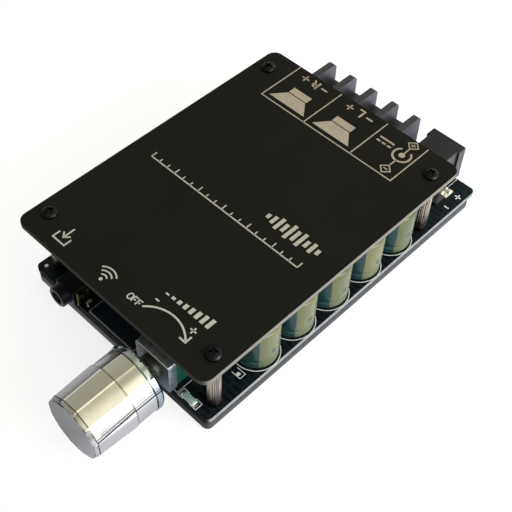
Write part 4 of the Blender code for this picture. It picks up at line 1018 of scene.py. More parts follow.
class AMPLIFIER_OT_stage(bpy.types.Operator):
    """Sets up the camera at the photographed angle, the soft lights and the pale floor"""

    bl_idname = "amplifier.stage"
    bl_label = "Stage"

    def execute(self, context):
        scene = context.scene
        scene.view_settings.view_transform = "Standard"
        camera = bpy.data.cameras.new("camera")
        camera.sensor_width = 36
        camera.lens = 68.727
        camera.shift_x, camera.shift_y = 0.02186, -0.00306
        camera.clip_start, camera.clip_end = 0.01, 20
        seen = bpy.data.objects.new("camera", camera)
        seen.location = (0.12124, -0.13518, 0.21804)
        seen.rotation_euler = [radians(a) for a in (38.8125, -0.9950, 44.7375)]
        scene.collection.objects.link(seen)
        scene.camera = seen
        for name, power, size, place, colour in (
            ("key light", 3.4, 0.30, (0.45, 0.06, 0.20), (1.0, 0.99, 0.97)),
            ("top light", 1.2, 0.50, (-0.10, 0.15, 0.60), (0.98, 0.99, 1.0)),
        ):
            lamp = bpy.data.lights.new(name, "AREA")
            lamp.energy, lamp.size, lamp.color = power, size, colour
            lit = bpy.data.objects.new(name, lamp)
            lit.location = place
            lit.visible_glossy = name == "key light"
            aim = Vector((0, 0, 0.01)) - Vector(place)
            lit.rotation_euler = aim.to_track_quat("-Z", "Y").to_euler()
            scene.collection.objects.link(lit)
        self.light_world(scene)
        self.lay_floor(scene)
        return {"FINISHED"}

    def light_world(self, scene):
        """A studio that is bright to the right and dimmer above and to the left."""
        world = scene.world or bpy.data.worlds.new("studio")
        scene.world = world
        world.use_nodes = True
        tree = world.node_tree
        tree.nodes.clear()
        way = node(tree, "TexCoord").outputs["Generated"]
        side, depth, height = (axis_of(tree, way, name) for name in "XYZ")
        light = span(tree, side, -0.10, 0.06, 0.78, 1.05)
        light = plus(tree, light, span(tree, side, 0.385, 0.475, 0.0, 1.75))
        light = times(tree, light, span(tree, side, 0.80, 0.95, 1.0, 0.50))
        light = times(tree, light, span(tree, side, -0.84, -0.76, 0.62, 1.0))
        for middle, flat, half, extra in ((-0.03, 0.16, 0.30, 1.2), (-0.86, 0.0, 0.05, 0.9)):
            strip = math(tree, "ABSOLUTE", less(tree, side, middle))
            light = plus(tree, light, span(tree, strip, flat, half, extra, 0.0))
        light = times(tree, light, span(tree, depth, -0.9, 0.2, 0.40, 1.0))
        up = span(tree, height, 0.25, 0.95, 1.0, 0.55)
        edge = span(tree, side, -0.80, -0.60, 0.24, 0.08)
        low = span(tree, less(tree, height, edge), -0.06, 0.0, 0.08, 1.0)
        level = times(tree, times(tree, light, up), low)
        warm = blend(tree, span(tree, height, 0.2, 0.9), (1.0, 1.0, 1.0), (1.0, 0.96, 0.75))
        warm = blend(tree, span(tree, side, -0.86, -0.76, 1.0, 0.0), warm, (0.93, 0.95, 1.10))
        lit = node(tree, "Background", {"Color": warm, "Strength": level})
        white = node(tree, "Background", {"Color": (1.0, 1.0, 1.0, 1.0), "Strength": 1.0})
        path = node(tree, "LightPath").outputs
        seen = plus(tree, path["Is Camera Ray"], path["Is Transmission Ray"], clamp=True)
        seen = plus(tree, seen, times(tree, path["Is Glossy Ray"], 0.08), clamp=True)
        mix = node(tree, "MixShader", {0: seen, 1: lit.outputs[0], 2: white.outputs[0]})
        out = node(tree, "OutputWorld", {0: mix.outputs[0]})
        out.is_active_output = True

    def lay_floor(self, scene):
        """A pale round floor; to the camera it is nearly white with a faint shadow."""
        radius, sides, below = 6.0, 96, 0.2 * MM
        made = bpy.data.materials.new("floor")
        made.use_nodes = True
        tree = made.node_tree
        tree.nodes.clear()
        path = node(tree, "LightPath").outputs
        camera, glossy = path["Is Camera Ray"], path["Is Glossy Ray"]
        place = own_place(tree)
        x, y = axis_of(tree, place, "X"), axis_of(tree, place, "Y")
        # Painted shadow: to glossy rays the floor is darker to the front left, where the knob's face mirrors
        # it.
        slant = math(tree, "MULTIPLY_ADD", y, 0.35, x)
        mirrored = blend(tree, span(tree, slant, -0.020, 0.020), (0.25, 0.265, 0.30), (0.70, 0.74, 0.96))
        colour = blend(tree, camera, (0.45, 0.45, 0.47), (0.90, 0.90, 0.90))
        diffuse = node(tree, "BsdfDiffuse", {"Color": blend(tree, glossy, colour, mirrored)})
        # Painted highlight: for glossy rays a patch of floor left of the knob and behind its front glows up
        # to nine times as bright.
        near = times(tree, span(tree, x, 0.004, 0.010, 1.0, 0.0), span(tree, y, -0.081, -0.078))
        glow = times(tree, times(tree, near, span(tree, x, -0.10, -0.07, 1.6, 8.0)), glossy)
        tint = blend(tree, camera, (0.84, 0.85, 1.0), (1.0, 1.0, 1.0))
        white = node(tree, "Emission", {"Color": tint, "Strength": plus(tree, glow, 1.0)})
        share = math(tree, "MULTIPLY_ADD", camera, 0.80, times(tree, glossy, 0.12))
        mix = node(tree, "MixShader", {0: share, 1: diffuse.outputs[0], 2: white.outputs[0]})
        node(tree, "OutputMaterial", {0: mix.outputs[0]})
        loop = ring_loop(radius, sides)
        mesh = bpy.data.meshes.new("floor")
        points = np.column_stack([loop, np.full(sides, -below)])
        mesh.from_pydata(points.tolist(), [], [list(range(sides))])
        mesh.materials.append(made)
        floor = bpy.data.objects.new("floor", mesh)
        scene.collection.objects.link(floor)
        floor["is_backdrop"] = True


class AMPLIFIER_OT_plates(bpy.types.Operator):
    """Builds the heatsink plate, the insulating sheet, the main board and the cover plate"""

    bl_idname = "amplifier.plates"
    bl_label = "Plates and Boards"

    def execute(self, context):
        holes = [ring_loop(SCREW_BORE, 32, place) for place in SCREW_PLACES]
        sink = 1.15 * MM
        outer = round_rectangle(PLATE_LOW, PLATE_HIGH, 1.8 * MM, 10)
        sunk = [(sink, PLATE_LOW[2]), (sink, 0.2 * MM), (0, 1.7 * MM), (0, PLATE_HIGH[2])]
        rim = edge_rim(PLATE_LOW[2], PLATE_HIGH[2], 0.3 * MM)
        stand_in("heatsink_plate", slab([outer, *holes], rim, sunk), "anodised")
        dress("sheet", "insulating_sheet")
        for name, corner in (("main_board", 1.6 * MM), ("cover_plate", 3.0 * MM)):
            low, high = corners(name)
            outer = round_rectangle(low, high, corner, 12)
            stand_in(name, slab([outer, *holes], edge_rim(low[2], high[2], 0.05 * MM, 1)), name)
        return {"FINISHED"}


class AMPLIFIER_OT_cover_marks(bpy.types.Operator):
    """Prints the pale marks on the cover plate"""

    bl_idname = "amplifier.cover_marks"
    bl_label = "Cover Marks"

    def execute(self, context):
        sizes = context.scene.amplifier_sizes
        marks = []

        def draw(points, width=sizes.line, closed=False):
            marks.append(stroke(on_cover(points), width, closed))

        self.draw_outputs(draw, marks)
        self.draw_polarity(draw, marks, (20.2, 40.95))
        self.draw_volume(draw, marks)
        self.draw_signs(draw, marks)
        printed("cover_marks", marks, COVER_TOP, sizes.ink, "cover_ink")
        return {"FINISHED"}

    def draw_outputs(self, draw, marks):
        """A frame with two dividers, two plain speakers and the signs of the four poles."""
        side, front, rear = 24.0, 31.3, (COVER_HIGH - COVER_LOW)[1] / MM / 2 - 0.4
        draw([(-side, rear), (-side, front), (side, front), (side, rear)])
        for x in (-7.65, 9.55):
            draw([(x, front), (x, rear)])
        for x in (-15.72, 0.92):
            marks.append([on_cover([(x - 3.3, 37.3), (x - 6.7, 32.9), (x + 6.7, 32.9), (x + 3.3, 37.3)])])
            marks.append([on_cover(rectangle((x - 3.4, 37.62), (x + 3.4, 40.1)))])
        for x, letter, height in (
            (-19.5, "+", 2.75), (-15.85, "R", 3.0), (-12.3, "-", 3.2),
            (-2.4, "+", 2.75), (1.2, "L", 3.0), (4.85, "-", 3.2),
        ):
            width = 0.45 * MM if letter == "+" else 0.6 * MM
            marks += sign(letter, on_cover((x, 45.4)), height * MM, width, pi)

    def draw_polarity(self, draw, marks, place):
        """A centre-pin polarity sign: dot, open ring and a pole sign at each end of its stems."""
        x, y = place
        thin, thick = 0.35 * MM, 0.6 * MM
        marks.append([ring_loop(0.95 * MM, 20, on_cover(place))])
        draw(arc(place, 2.6, 125, 415, 28), thick)
        draw([(x, y + 0.9), (x, y + 3.4)])
        draw([(x, y - 2.6), (x, y - 5.0)])
        for end in (y + 5.15, y - 7.1):
            draw([(x, end - 1.7), (x + 1.7, end), (x, end + 1.7), (x - 1.7, end)], thin, True)
            draw([(x - 0.7, end), (x + 0.7, end)], thin)
        draw([(x, y + 4.45), (x, y + 5.85)], thin)
        draw([(11.2, 42.6), (16.2, 42.6)], thick)
        for start in (11.2, 13.05, 14.9):
            draw([(start, 41.0), (start + 1.3, 41.0)], thick)

    def draw_volume(self, draw, marks):
        """The swept arrow over the knob with its end signs and a growing wedge beside it."""
        draw(arc((16.1, -49.9), 9.93, 139.5, 44.5, 40), 0.52 * MM)
        draw([(21.3, -43.2), (23.45, -43.25), (23.35, -41.1)], 0.5 * MM)
        for x, letter in ((4.27, "O"), (5.84, "F"), (7.35, "F")):
            marks += sign(letter, on_cover((x, -43.45)), 1.75 * MM, 0.36 * MM)
        marks += sign("-", on_cover((9.7, -39.6)), 1.8 * MM, 0.45 * MM)
        marks += sign("+", on_cover((22.35, -39.6)), 2.2 * MM, 0.45 * MM)
        foot = -36.9
        for k in range(8):
            x, tall = 9.6 + 1.95 * k, 0.5 + 0.36 * k
            marks.append([on_cover(rectangle((x, foot), (x + 1.1, foot + tall)))])

    def draw_signs(self, draw, marks):
        """Plain signs: bars of differing height, a ruled line with ticks, an input arrow, waves."""
        middle, half = -1, 0.55
        for k, tall in enumerate((1.6, 2.8, 4.4, 3.0, 5.4, 3.8, 5.0, 2.4, 3.6, 1.8)):
            x = 9.9 + 1.9 * k
            bar = rectangle((x - half, middle - tall / 2), (x + half, middle + tall / 2))
            marks.append([on_cover(bar)])
        left, right, level = -27.4, 26.6, -8.2
        draw([(left, level), (right, level)], 0.4 * MM)
        for k in range(19):
            x = left + 3.0 * k
            draw([(x, level), (x, -6.9 if k % 3 else -6.2)], 0.35 * MM)
        arrow = 0.45 * MM
        draw([(-21.6, -39.6), (-21.6, -43.2)], arrow)
        draw([(-22.9, -42.0), (-21.6, -43.4), (-20.3, -42.0)], arrow)
        draw([(-23.8, -42.6), (-23.8, -45.0), (-19.4, -45.0), (-19.4, -42.6)], arrow)
        source = (-4.8, -45.2)
        marks.append([ring_loop(0.5 * MM, 16, on_cover(source))])
        for radius in (1.5, 2.7, 3.9):
            draw(arc(source, radius, 45, 135, 12), 0.42 * MM)

class AMPLIFIER_OT_board_marks(bpy.types.Operator):
    """Prints the pale outlines and signs on the main board"""

    bl_idname = "amplifier.board_marks"
    bl_label = "Board Marks"

    def execute(self, context):
        sizes = context.scene.amplifier_sizes
        marks = []

        def draw(points, width=sizes.silk, closed=False):
            marks.append(stroke(points, width, closed))

        for n in range(1, 6):
            low, high = corners(f"capacitor_{n}")
            draw(ring_loop(6.5 * MM, 64, (low + high)[:2] / 2), 0.24 * MM, True)
        margin = 0.35 * MM
        for name, out in (
            ("potentiometer_frame", 0.85), ("terminal_block", 0.35), ("power_socket_housing", 0.4),
            ("coil_1", 0.5), ("coil_2", 0.5), ("coil_3", 0.5), ("coil_4", 0.5),
            ("amplifier_chip_1", 0.4), ("amplifier_chip_2", 0.4), ("preamplifier_chip", 0.4),
        ):
            low, high = corners(name)
            low, high = low[:2] - out * MM, high[:2] + out * MM
            if name == "potentiometer_frame":
                high[1] += 12.5 * MM  # the outline also goes round the wafers and the switch
            low = np.maximum(low, BOARD_LOW[:2] + margin)
            high = np.minimum(high, BOARD_HIGH[:2] - margin)
            draw(rectangle(low, high), closed=True)
        low, high = corners("run_lamp_base")
        left, right = low[0] - 0.75 * MM, high[0] + 0.45 * MM
        front, rear = low[1] - 0.12 * MM, high[1] + 0.55 * MM
        for x, reach, width in ((left, 1.9 * MM, 0.2 * MM), (right, -2.3 * MM, 0.22 * MM)):
            draw([(x + reach, rear), (x, rear), (x, front), (x + reach, front)], width)
        bracket = np.array([(-1.4, 0), (1.5, 0), (1.5, -1.9), (-1.4, -1.9)]) * MM
        draw(bracket + on_cover((28.7, -29.6)), 0.2 * MM)
        marks.append([rounded_loop(1.0 * MM, 1.0 * MM, 0.1 * MM, 2, on_cover((28.9, -30.8)))])
        for x, y in ((-14.2, -44.4), (-15.2, 28.0), (20.6, -21.0)):
            marks.append([ring_loop(0.32 * MM, 16, on_cover((x, y)))])
        marks += sign("+", on_cover((31.3, 58.2)), 2.2 * MM, 0.4 * MM)
        marks += sign("-", on_cover((31.4, 52.6)), 2.2 * MM, 0.4 * MM)
        marks.append([ring_loop(0.55 * MM, 20, on_cover((-32.9, -43.7)))])
        printed("board_marks", marks, BOARD_TOP, sizes.ink, "board_ink")
        return {"FINISHED"}


def cross_head(rows, reach, arm, depth):
    """Lowers a dome's points inside a cross: z - depth f(r) s(w(r) - min(|x|, |y|)).

    f falls off from 1 at the middle to 0.55 at the arm's end, w narrows along the arm, and
    s is a smooth step over a twentieth of the arm's length.
    """
    x, y = rows[..., 0], rows[..., 1]
    r = np.hypot(x, y)
    along = np.clip(r / reach, 0, 1)
    half = arm / 2 * (1 - 0.35 * along) + 0.25 * arm * np.exp(-((r / (arm * 0.9)) ** 2))
    blur = reach * 0.045
    near = np.clip((half - np.minimum(abs(x), abs(y))) / blur + 0.5, 0, 1)
    end = np.clip((reach - r) / blur + 0.5, 0, 1)
    inside = near**2 * (3 - 2 * near) * end**2 * (3 - 2 * end)
    rows[..., 2] -= depth * (1 - 0.45 * along) * inside


def screw(head, shank, cross, sides=96, flat=False):
    """A screw that points down: a shank, a flat seat, a rolled rim and a dome with a cross.

    head is (radius, height), shank (radius, length) and cross (reach, arm width, depth). The
    dome is z = h - (h - e) (r / R)^p, with p 3.2 for a pan head and 12 for a flat one.
    """
    (head_radius, head_height), (shank_radius, length) = head, shank
    edge = head_height * (0.9 if flat else 0.42)
    stem = [
        (shank_radius * 0.5, -length),
        (shank_radius, -length + shank_radius * 0.6),
        (shank_radius, 0.0),
        *([] if flat else [(head_radius * 0.985, 0.0)]),
        (head_radius, head_height * 0.8 if flat else edge * 0.35),
        (head_radius, edge),
    ]
    r = head_radius * (1 - np.linspace(0, 1, 44) ** 1.15)
    r[-1] = head_radius * 0.01
    dome = head_height - (head_height - edge) * (r / head_radius) ** (12 if flat else 3.2)
    profile = np.concatenate([stem, np.stack([r[1:], dome[1:]], -1)])
    points, faces = turned(profile, sides)
    cross_head(points[len(stem) * sides:], *cross)
    return points, faces


class AMPLIFIER_OT_standoffs(bpy.types.Operator):
    """Builds the knurled standoffs and the screws at both of their ends"""

    bl_idname = "amplifier.standoffs"
    bl_label = "Standoffs and Screws"

    def execute(self, context):
        ribs = context.scene.amplifier_sizes.knurls
        for n, place in enumerate(SCREW_PLACES, 1):
            self.make_standoff(n, place, ribs)
            low, high = corners(f"cover_screw_{n}")
            head = (high[0] - low[0]) / 2 * 0.88
            turn = Matrix.Rotation(0.5 + 0.9 * n, 3, "Z")
            shape = screw((head, 1.35 * MM), (1.15 * MM, 7.0 * MM), (1.2 * MM, 0.62 * MM, 0.9 * MM))
            stand_in(f"cover_screw_{n}", moved(shape, (*place, COVER_TOP), turn), "black_oxide")
            cross = (1.3 * MM, 0.6 * MM, 0.8 * MM)
            shape = screw((2.28 * MM, 1.3 * MM), (1.15 * MM, 9.0 * MM), cross, 64, flat=True)
            over = Matrix.Rotation(pi, 3, "X") @ turn
            stand_in(f"base_screw_{n}", moved(shape, (*place, 1.5 * MM), over), "black_oxide")
        return {"FINISHED"}

    def make_standoff(self, n, place, ribs):
        """r = R - d (1 - |sin(n a / 2)|^0.6) between two plain bands, with a bore right through."""
        low, high = corners(f"standoff_{n}")
        tall, radius = high[2] - low[2], (high[0] - low[0]) / 2
        band, run, chamfer, rib_depth = 1.4 * MM, 0.2 * MM, 0.25 * MM, 0.26 * MM
        heights = [0, chamfer, band, band + run, tall - band - run, tall - band, tall - chamfer, tall]
        radii = [radius - 0.2 * MM, *[radius] * 6, radius - 0.2 * MM]
        profile = [(SCREW_BORE, 0.0), *zip(radii, heights), (SCREW_BORE, tall)]
        depth = np.zeros(len(profile))
        depth[4:6] = rib_depth

        def rib(angle, row):
            return -depth[row] * (1 - np.abs(np.sin(angle * ribs / 2)) ** 0.6)

        shape = flipped(turned(profile[::-1], ribs * 6, rib, closed=True))
        stand_in(f"standoff_{n}", moved(shape, (*place, low[2])), "brass", smooth=50)


class AMPLIFIER_OT_capacitors(bpy.types.Operator):
    """Builds the power capacitors: sleeve with crimp groove, and scored can top"""

    bl_idname = "amplifier.capacitors"
    bl_label = "Capacitors"

    def execute(self, context):
        for n in range(1, 6):
            low, high = corners(f"capacitor_{n}")
            radius = (high[0] - low[0]) / 2
            place = ((low + high) / 2)[:2]
            foot = BOARD_TOP + BOARD_GAP
            tall = high[2] - foot
            line = [
                (4.9 * MM, 0.02 * MM), (5.75 * MM, 0.0), (6.0 * MM, 0.5 * MM),
                (radius - 0.12 * MM, 1.4 * MM), (radius - 0.2 * MM, 2.0 * MM),
                (radius - 0.52 * MM, 2.55 * MM), (radius - 0.12 * MM, 3.2 * MM),
                (radius, 3.9 * MM), (radius, tall - 1.0 * MM), (radius - 0.22 * MM, tall - 0.32 * MM),
                (radius - 0.75 * MM, tall), (radius - 1.25 * MM, tall - 0.02 * MM),
                (radius - 1.35 * MM, tall - 0.3 * MM),
            ]
            shape = moved(turned(rounded_profile(line, 0.5 * MM, 4), 96), (*place, foot))
            sleeve = piece(f"capacitor_{n}_sleeve", shape, "sleeve", stands_for=f"capacitor_{n}")
            wrap_round(sleeve.data, place, foot, tall)
            self.make_top(n, place, foot + tall, radius - 1.3 * MM)
        return {"FINISHED"}

    def make_top(self, n, place, height, radius):
        """The scored top: z = -0.10 - 0.16 exp(-(d / 0.28)^2) mm, d from the lines of a cross."""
        count, sides = 24, 96
        r = radius * (1 - np.linspace(0, 1, count))[:, None]
        r[-1] = radius * 0.02
        angle = np.arange(sides) * tau / sides + 0.4
        x, y = r * np.cos(angle), r * np.sin(angle)
        near = np.minimum(abs(x), abs(y)) / (0.28 * MM)
        groove = np.exp(-(near**2)) * (r < radius * 0.8)
        rows = np.stack([x, y, -0.1 * MM - 0.16 * MM * groove], -1)
        under = rows[:1].copy()
        under[..., 2] = -0.6 * MM
        shape = skin(list(np.concatenate([under, rows])))
        shape = moved(shape, (*place, height), Matrix.Rotation(0.7 + 0.8 * n, 3, "Z"))
        piece(f"capacitor_{n}_top", shape, "can_top")


class AMPLIFIER_OT_terminals(bpy.types.Operator):
    """Builds the terminal block and the contact, clamp and screw of each cell"""

    bl_idname = "amplifier.terminals"
    bl_label = "Speaker Terminals"

    def execute(self, context):
        pitch, wall, poles = 8.25 * MM, 2.2 * MM, 4
        front, low = BLOCK_LOW[1:]
        cell, floor = front + 2.0 * MM, low + 8.5 * MM
        fin, fixed = self.fin_outline(cell, floor)
        bay = fin.copy()
        bay[(fin[:, 0] >= cell - 1e-9) & (fin[:, 1] > floor), 1] = floor
        bay[fixed] = fin[fixed]
        rings = []
        x = BLOCK_LOW[0]
        for k in range(poles + 1):
            ends = [(fin, x), (fin, x + wall)]
            if k < poles:
                ends += [(bay, x + wall), (bay, x + pitch)]
            for outline, start in ends:
                rings.append(np.column_stack([np.full(len(outline), start), outline]))
            x += pitch
        soften(stand_in("terminal_block", skin(rings), "black_plastic"), 0.5 * MM, 3, 30)
        for n in range(1, poles + 1):
            self.make_cell(n)
        return {"FINISHED"}

    def fin_outline(self, cell, floor):
        """A fin's outline in (y, z), anticlockwise from the right, and the number of one point.

        A doubled point lies at the top of the front wall: the first of the two stays up where
        the bay drops to its floor, and it is the one whose number is given.
        """
        (front, low), (rear, high) = BLOCK_LOW[1:], BLOCK_HIGH[1:]
        r = 1.5 * MM
        a = np.linspace(0, pi / 2, 7)
        back = np.stack([rear - r + r * np.cos(a), high - r + r * np.sin(a)], -1)
        lead = np.stack([front + r - r * np.sin(a), high - r + r * np.cos(a)], -1)
        parts = [[(rear, low), (rear, floor)], back, [(cell, high), (cell, high)], lead, [(front, low)]]
        outline = np.concatenate([np.asarray(part, float) for part in parts])
        return outline, len(outline) - 1 - len(lead) - 1

    def make_cell(self, n):
        """The metal of one cell: a flat contact, a clamp plate with a hole, a screw."""
        low, high = corners(f"terminal_contact_{n}")
        thick = 0.8 * MM
        top = brick((low[0], low[1], high[2] - thick), high, 0.12 * MM)
        leg = brick(low, (high[0], low[1] + thick, high[2] - 0.1 * MM), 0.1 * MM)
        stand_in(f"terminal_contact_{n}", joined([top, leg]), "tin")
        body = f"terminal_clamp_unit_{n}"
        low, high = corners(f"terminal_clamp_{n}")
        outer = round_rectangle(low, high, 0.5 * MM, 6)
        hole = ring_loop(1.6 * MM, 32, ((low + high) / 2)[:2])
        plate = slab([outer, hole], edge_rim(low[2], high[2], 0.22 * MM))
        stand_in(f"terminal_clamp_{n}", plate, "steel", body)
        low, high = corners(f"terminal_screw_{n}")
        middle, head = (low + high) / 2, 2.0 * MM
        cross = (1.9 * MM, 0.75 * MM, 1.1 * MM)
        shape = screw(((high[0] - low[0]) / 2, head), (1.45 * MM, 8.0 * MM), cross)
        shape = moved(shape, (middle[0], middle[1], high[2] - head), Matrix.Rotation(0.3 + n, 3, "Z"))
        stand_in(f"terminal_screw_{n}", shape, "steel", body)


class AMPLIFIER_OT_sockets(bpy.types.Operator):
    """Builds the power socket and the audio socket"""

    bl_idname = "amplifier.sockets"
    bl_label = "Sockets"

    def execute(self, context):
        self.make_power_socket()
        self.make_audio_socket()
        return {"FINISHED"}

    def make_power_socket(self):
        """Rings from the foot of the bore out to its mouth, over the flange and down the body."""
        low, high = corners("power_socket_housing")
        size, middle = high - low, (low + high) / 2
        steps, bore, corner = 10, 3.15 * MM, 0.5 * MM
        step, lip, length = 0.7 * MM, 3.3 * MM, size[1]
        axis_z = low[2] + 6.4 * MM
        hole = ring_loop(bore, 4 * steps, (0, axis_z - middle[2]))
        flange = rounded_loop(size[0], size[2], corner, steps)
        body = rounded_loop(size[0] - 2 * step, size[2] - 0.02 * MM, corner, steps)
        shape = stacked([
            (hole, 0, -10.0 * MM), (hole, 0, -0.5 * MM), (hole, -0.35 * MM, 0),
            (flange, 0.25 * MM, 0), (flange, 0, -0.25 * MM), (flange, 0, -lip + 0.2 * MM),
            (flange, 0, -lip), (body, 0, -lip), (body, 0, -length + 0.25 * MM),
            (body, 0.25 * MM, -length),
        ])
        shape = moved(shape, (middle[0], high[1], middle[2]), Z_TO_Y)
        piece("power_socket_body", shape, "socket_plastic", stands_for="power_socket_housing", smooth=40)
        low, high = corners("power_socket_pin")
        profile = [(0.3, -10.4), (1.05, -10.4), (1.05, -0.9), (0.9, -0.35), (0.55, -0.08), (0.1, 0.0)]
        pin = turned(rounded_profile(np.array(profile) * MM, 0.25 * MM), 32)
        pin = moved(pin, (middle[0], high[1], axis_z), TO_REAR)
        leg = post(middle[0], low[1] + 0.75 * MM, (0.35 * MM, 0.35 * MM), low[2], axis_z, 0.1 * MM)
        stand_in("power_socket_pin", joined([pin, leg]), "tin")
        dress("tin", "power_socket_spring")

    def make_audio_socket(self):
        """Rings from the foot of the bore, over the nose and the block, to the block's rear."""
        low, high = corners("audio_socket_housing")
        steps, tall = 10, 5.4 * MM
        base = BOARD_TOP + BOARD_GAP
        centre_z = base + tall / 2
        shift = (0, base + 3.25 * MM - centre_z)
        bore, nose = (ring_loop(radius * MM, 4 * steps, shift) for radius in (1.85, 3.1))
        block = rounded_loop(high[0] - low[0], tall, 0.4 * MM, steps)
        reach, length = 2.8 * MM, high[1] - low[1]
        shape = stacked([
            (bore, 0, 12.5 * MM), (bore, 0, 0.3 * MM), (bore, -0.2 * MM, 0.0),
            (nose, 0.3 * MM, 0.0), (nose, 0, 0.3 * MM), (nose, 0, reach),
            (block, 0.2 * MM, reach), (block, 0, reach + 0.2 * MM), (block, 0, length - 0.25 * MM),
            (block, 0.25 * MM, length),
        ])
        shape = flipped(moved(shape, ((low[0] + high[0]) / 2, low[1], centre_z), Z_TO_Y))
        piece("audio_socket_body", shape, "jack_plastic", stands_for="audio_socket_housing", smooth=40)
        dress("tin", "audio_socket_spring_left", "audio_socket_spring_right")
        self.make_contact(high[0] + 0.12 * MM)

    def make_contact(self, side):
        """The sheet contact on the audio socket's side: three leaves under one bar."""
        radius, front, rear = 0.05 * MM, -55.2, -51.2
        parts = []
        for start, end, foot, top, thick in (
            (front, -54.3, BOARD_TOP / MM, 10.4, 0.22),
            (-53.4, -52.9, BOARD_TOP / MM, 8.6, 0.22),
            (-52.0, rear, BOARD_TOP / MM, 9.6, 0.22),
            (front, rear, 8.2, 8.7, 0.25),
        ):
            high = (side + thick * MM, end * MM, top * MM)
            parts.append(brick((side, start * MM, foot * MM), high, radius))
        piece("audio_socket_contact", joined(parts), "olive_metal")


class AMPLIFIER_OT_potentiometer(bpy.types.Operator):
    """Builds the volume control: frame, wafers, switch, threaded bushing and shaft"""

    bl_idname = "amplifier.potentiometer"
    bl_label = "Volume Control"

    def execute(self, context):
        wafers = ("potentiometer_wafer_front", "potentiometer_wafer_rear")
        self.make_frame()
        for name in wafers:
            low, high = corners(name)
            low[2] = BOARD_TOP + BOARD_GAP
            stand_in(name, self.plate(low, high, 0.8 * MM, 0.15 * MM), "wafer")
        shape = self.plate(*corners("potentiometer_switch"), 0.6 * MM, 0.3 * MM)
        stand_in("potentiometer_switch", shape, "black_plastic")
        self.make_pins(wafers)
        self.make_bushing()
        self.make_shaft()
        return {"FINISHED"}

    def plate(self, low, high, corner, edge):
        """An upright plate between two corners, with round corners and soft edges."""
        size, middle = high - low, (low + high) / 2
        loop = rounded_loop(size[0], size[2], corner, 5, middle[[0, 2]])
        return moved(slab([loop], edge_rim(0, size[1], edge)), (0, high[1], 0), TO_FRONT)

    def make_frame(self):
        """The front plate, and two straps that run back over the wafers and hook down behind."""
        low, high = corners("potentiometer_frame")
        back = corners("potentiometer_switch")[0][1]
        half, top, radius = 0.9 * MM, high[2] - 0.07 * MM, 0.1 * MM
        shapes = [self.plate(low, high, 0.6 * MM, 0.25 * MM)]
        for x in (low[0] + 2.4 * MM, high[0] - 2.4 * MM):
            end = (x + half, back + 0.3 * MM, top)
            shapes.append(brick((x - half, low[1] + 1.2 * MM, high[2] - 0.45 * MM), end, radius))
            shapes.append(brick((x - half, back - 0.1 * MM, high[2] - 2.2 * MM), end, radius))
        stand_in("potentiometer_frame", joined(shapes), "frame_steel")

    def make_pins(self, wafers):
        """Three flat pins under each wafer."""
        half, top, pitch = (0.45 * MM, 0.2 * MM), 7.2 * MM, 3.6 * MM
        shapes = []
        for name in wafers:
            low, high = corners(name)
            middle, y = (low[0] + high[0]) / 2, high[1] - 0.9 * MM
            for k in (-1, 0, 1):
                shapes.append(post(middle + k * pitch, y, half, low[2], top, 0.05 * MM))
        piece("potentiometer_pins", joined(shapes), "tin")

    def make_bushing(self):
        """r = R - d (1 - |2 f - 1|), with f the fraction of h / pitch - a / turn: a helix."""
        low, high = corners("potentiometer_bushing")
        radius, length = (high[0] - low[0]) / 2, high[1] - low[1]
        pitch, depth, bore, fading, sides = 0.75 * MM, 0.28 * MM, 2.65 * MM, 0.4 * MM, 48
        start, end = 2.9 * MM, length - 0.5 * MM
        thread = np.linspace(start, end, 40)
        h = np.array([0, start - 0.02 * MM, *thread, length - 0.1 * MM, length])[:, None]
        angle = np.arange(sides)[None] * tau / sides
        f = np.mod(h / pitch - angle / tau, 1)
        fade = np.clip((h - start) / fading, 0, 1) * np.clip((end - h) / fading + 0.2, 0, 1)
        r = radius - depth * (1 - abs(2 * f - 1)) * fade
        r[-2:] = radius - 0.35 * MM
        r[-1] = radius - 0.5 * MM
        rings = list(np.stack([r * np.cos(angle), r * np.sin(angle), np.repeat(h, sides, 1)], -1))
        inside = ring_loop(bore, sides, turn=0)
        rings += [ring_at(inside, 0, length), ring_at(inside, 0, 0.0)]
        shape = grid(np.stack(rings), wrap_rows=True)
        shape = moved(shape, (KNOB_AXIS_X, high[1], KNOB_AXIS_Z), TO_FRONT)
        stand_in("potentiometer_bushing", shape, "dark_metal", smooth=25)

    def make_shaft(self):
        """A round journal, then a thicker round with y held under the flat of its D shape."""
        low, high = corners("potentiometer_shaft")
        length = high[1] - low[1]
        thin, thick, flat, change = 2.5 * MM, 2.97 * MM, 1.5 * MM, 7.7 * MM
        chamfer, step = 0.4 * MM, 0.01 * MM
        profile = [
            (1.2 * MM, 0), (thin, 0), (thin, change), (thick, change), (thick, change + step),
            (thick, length - chamfer), (thick - chamfer, length),
        ]
        points, faces = turned(profile, 64)
        beyond = points[:, 2] > change + step / 2
        points[beyond, 1] = np.minimum(points[beyond, 1], flat)
        shape = moved((points, faces), (KNOB_AXIS_X, high[1], KNOB_AXIS_Z), TO_FRONT)
        stand_in("potentiometer_shaft", shape, "turned_metal", VOLUME)


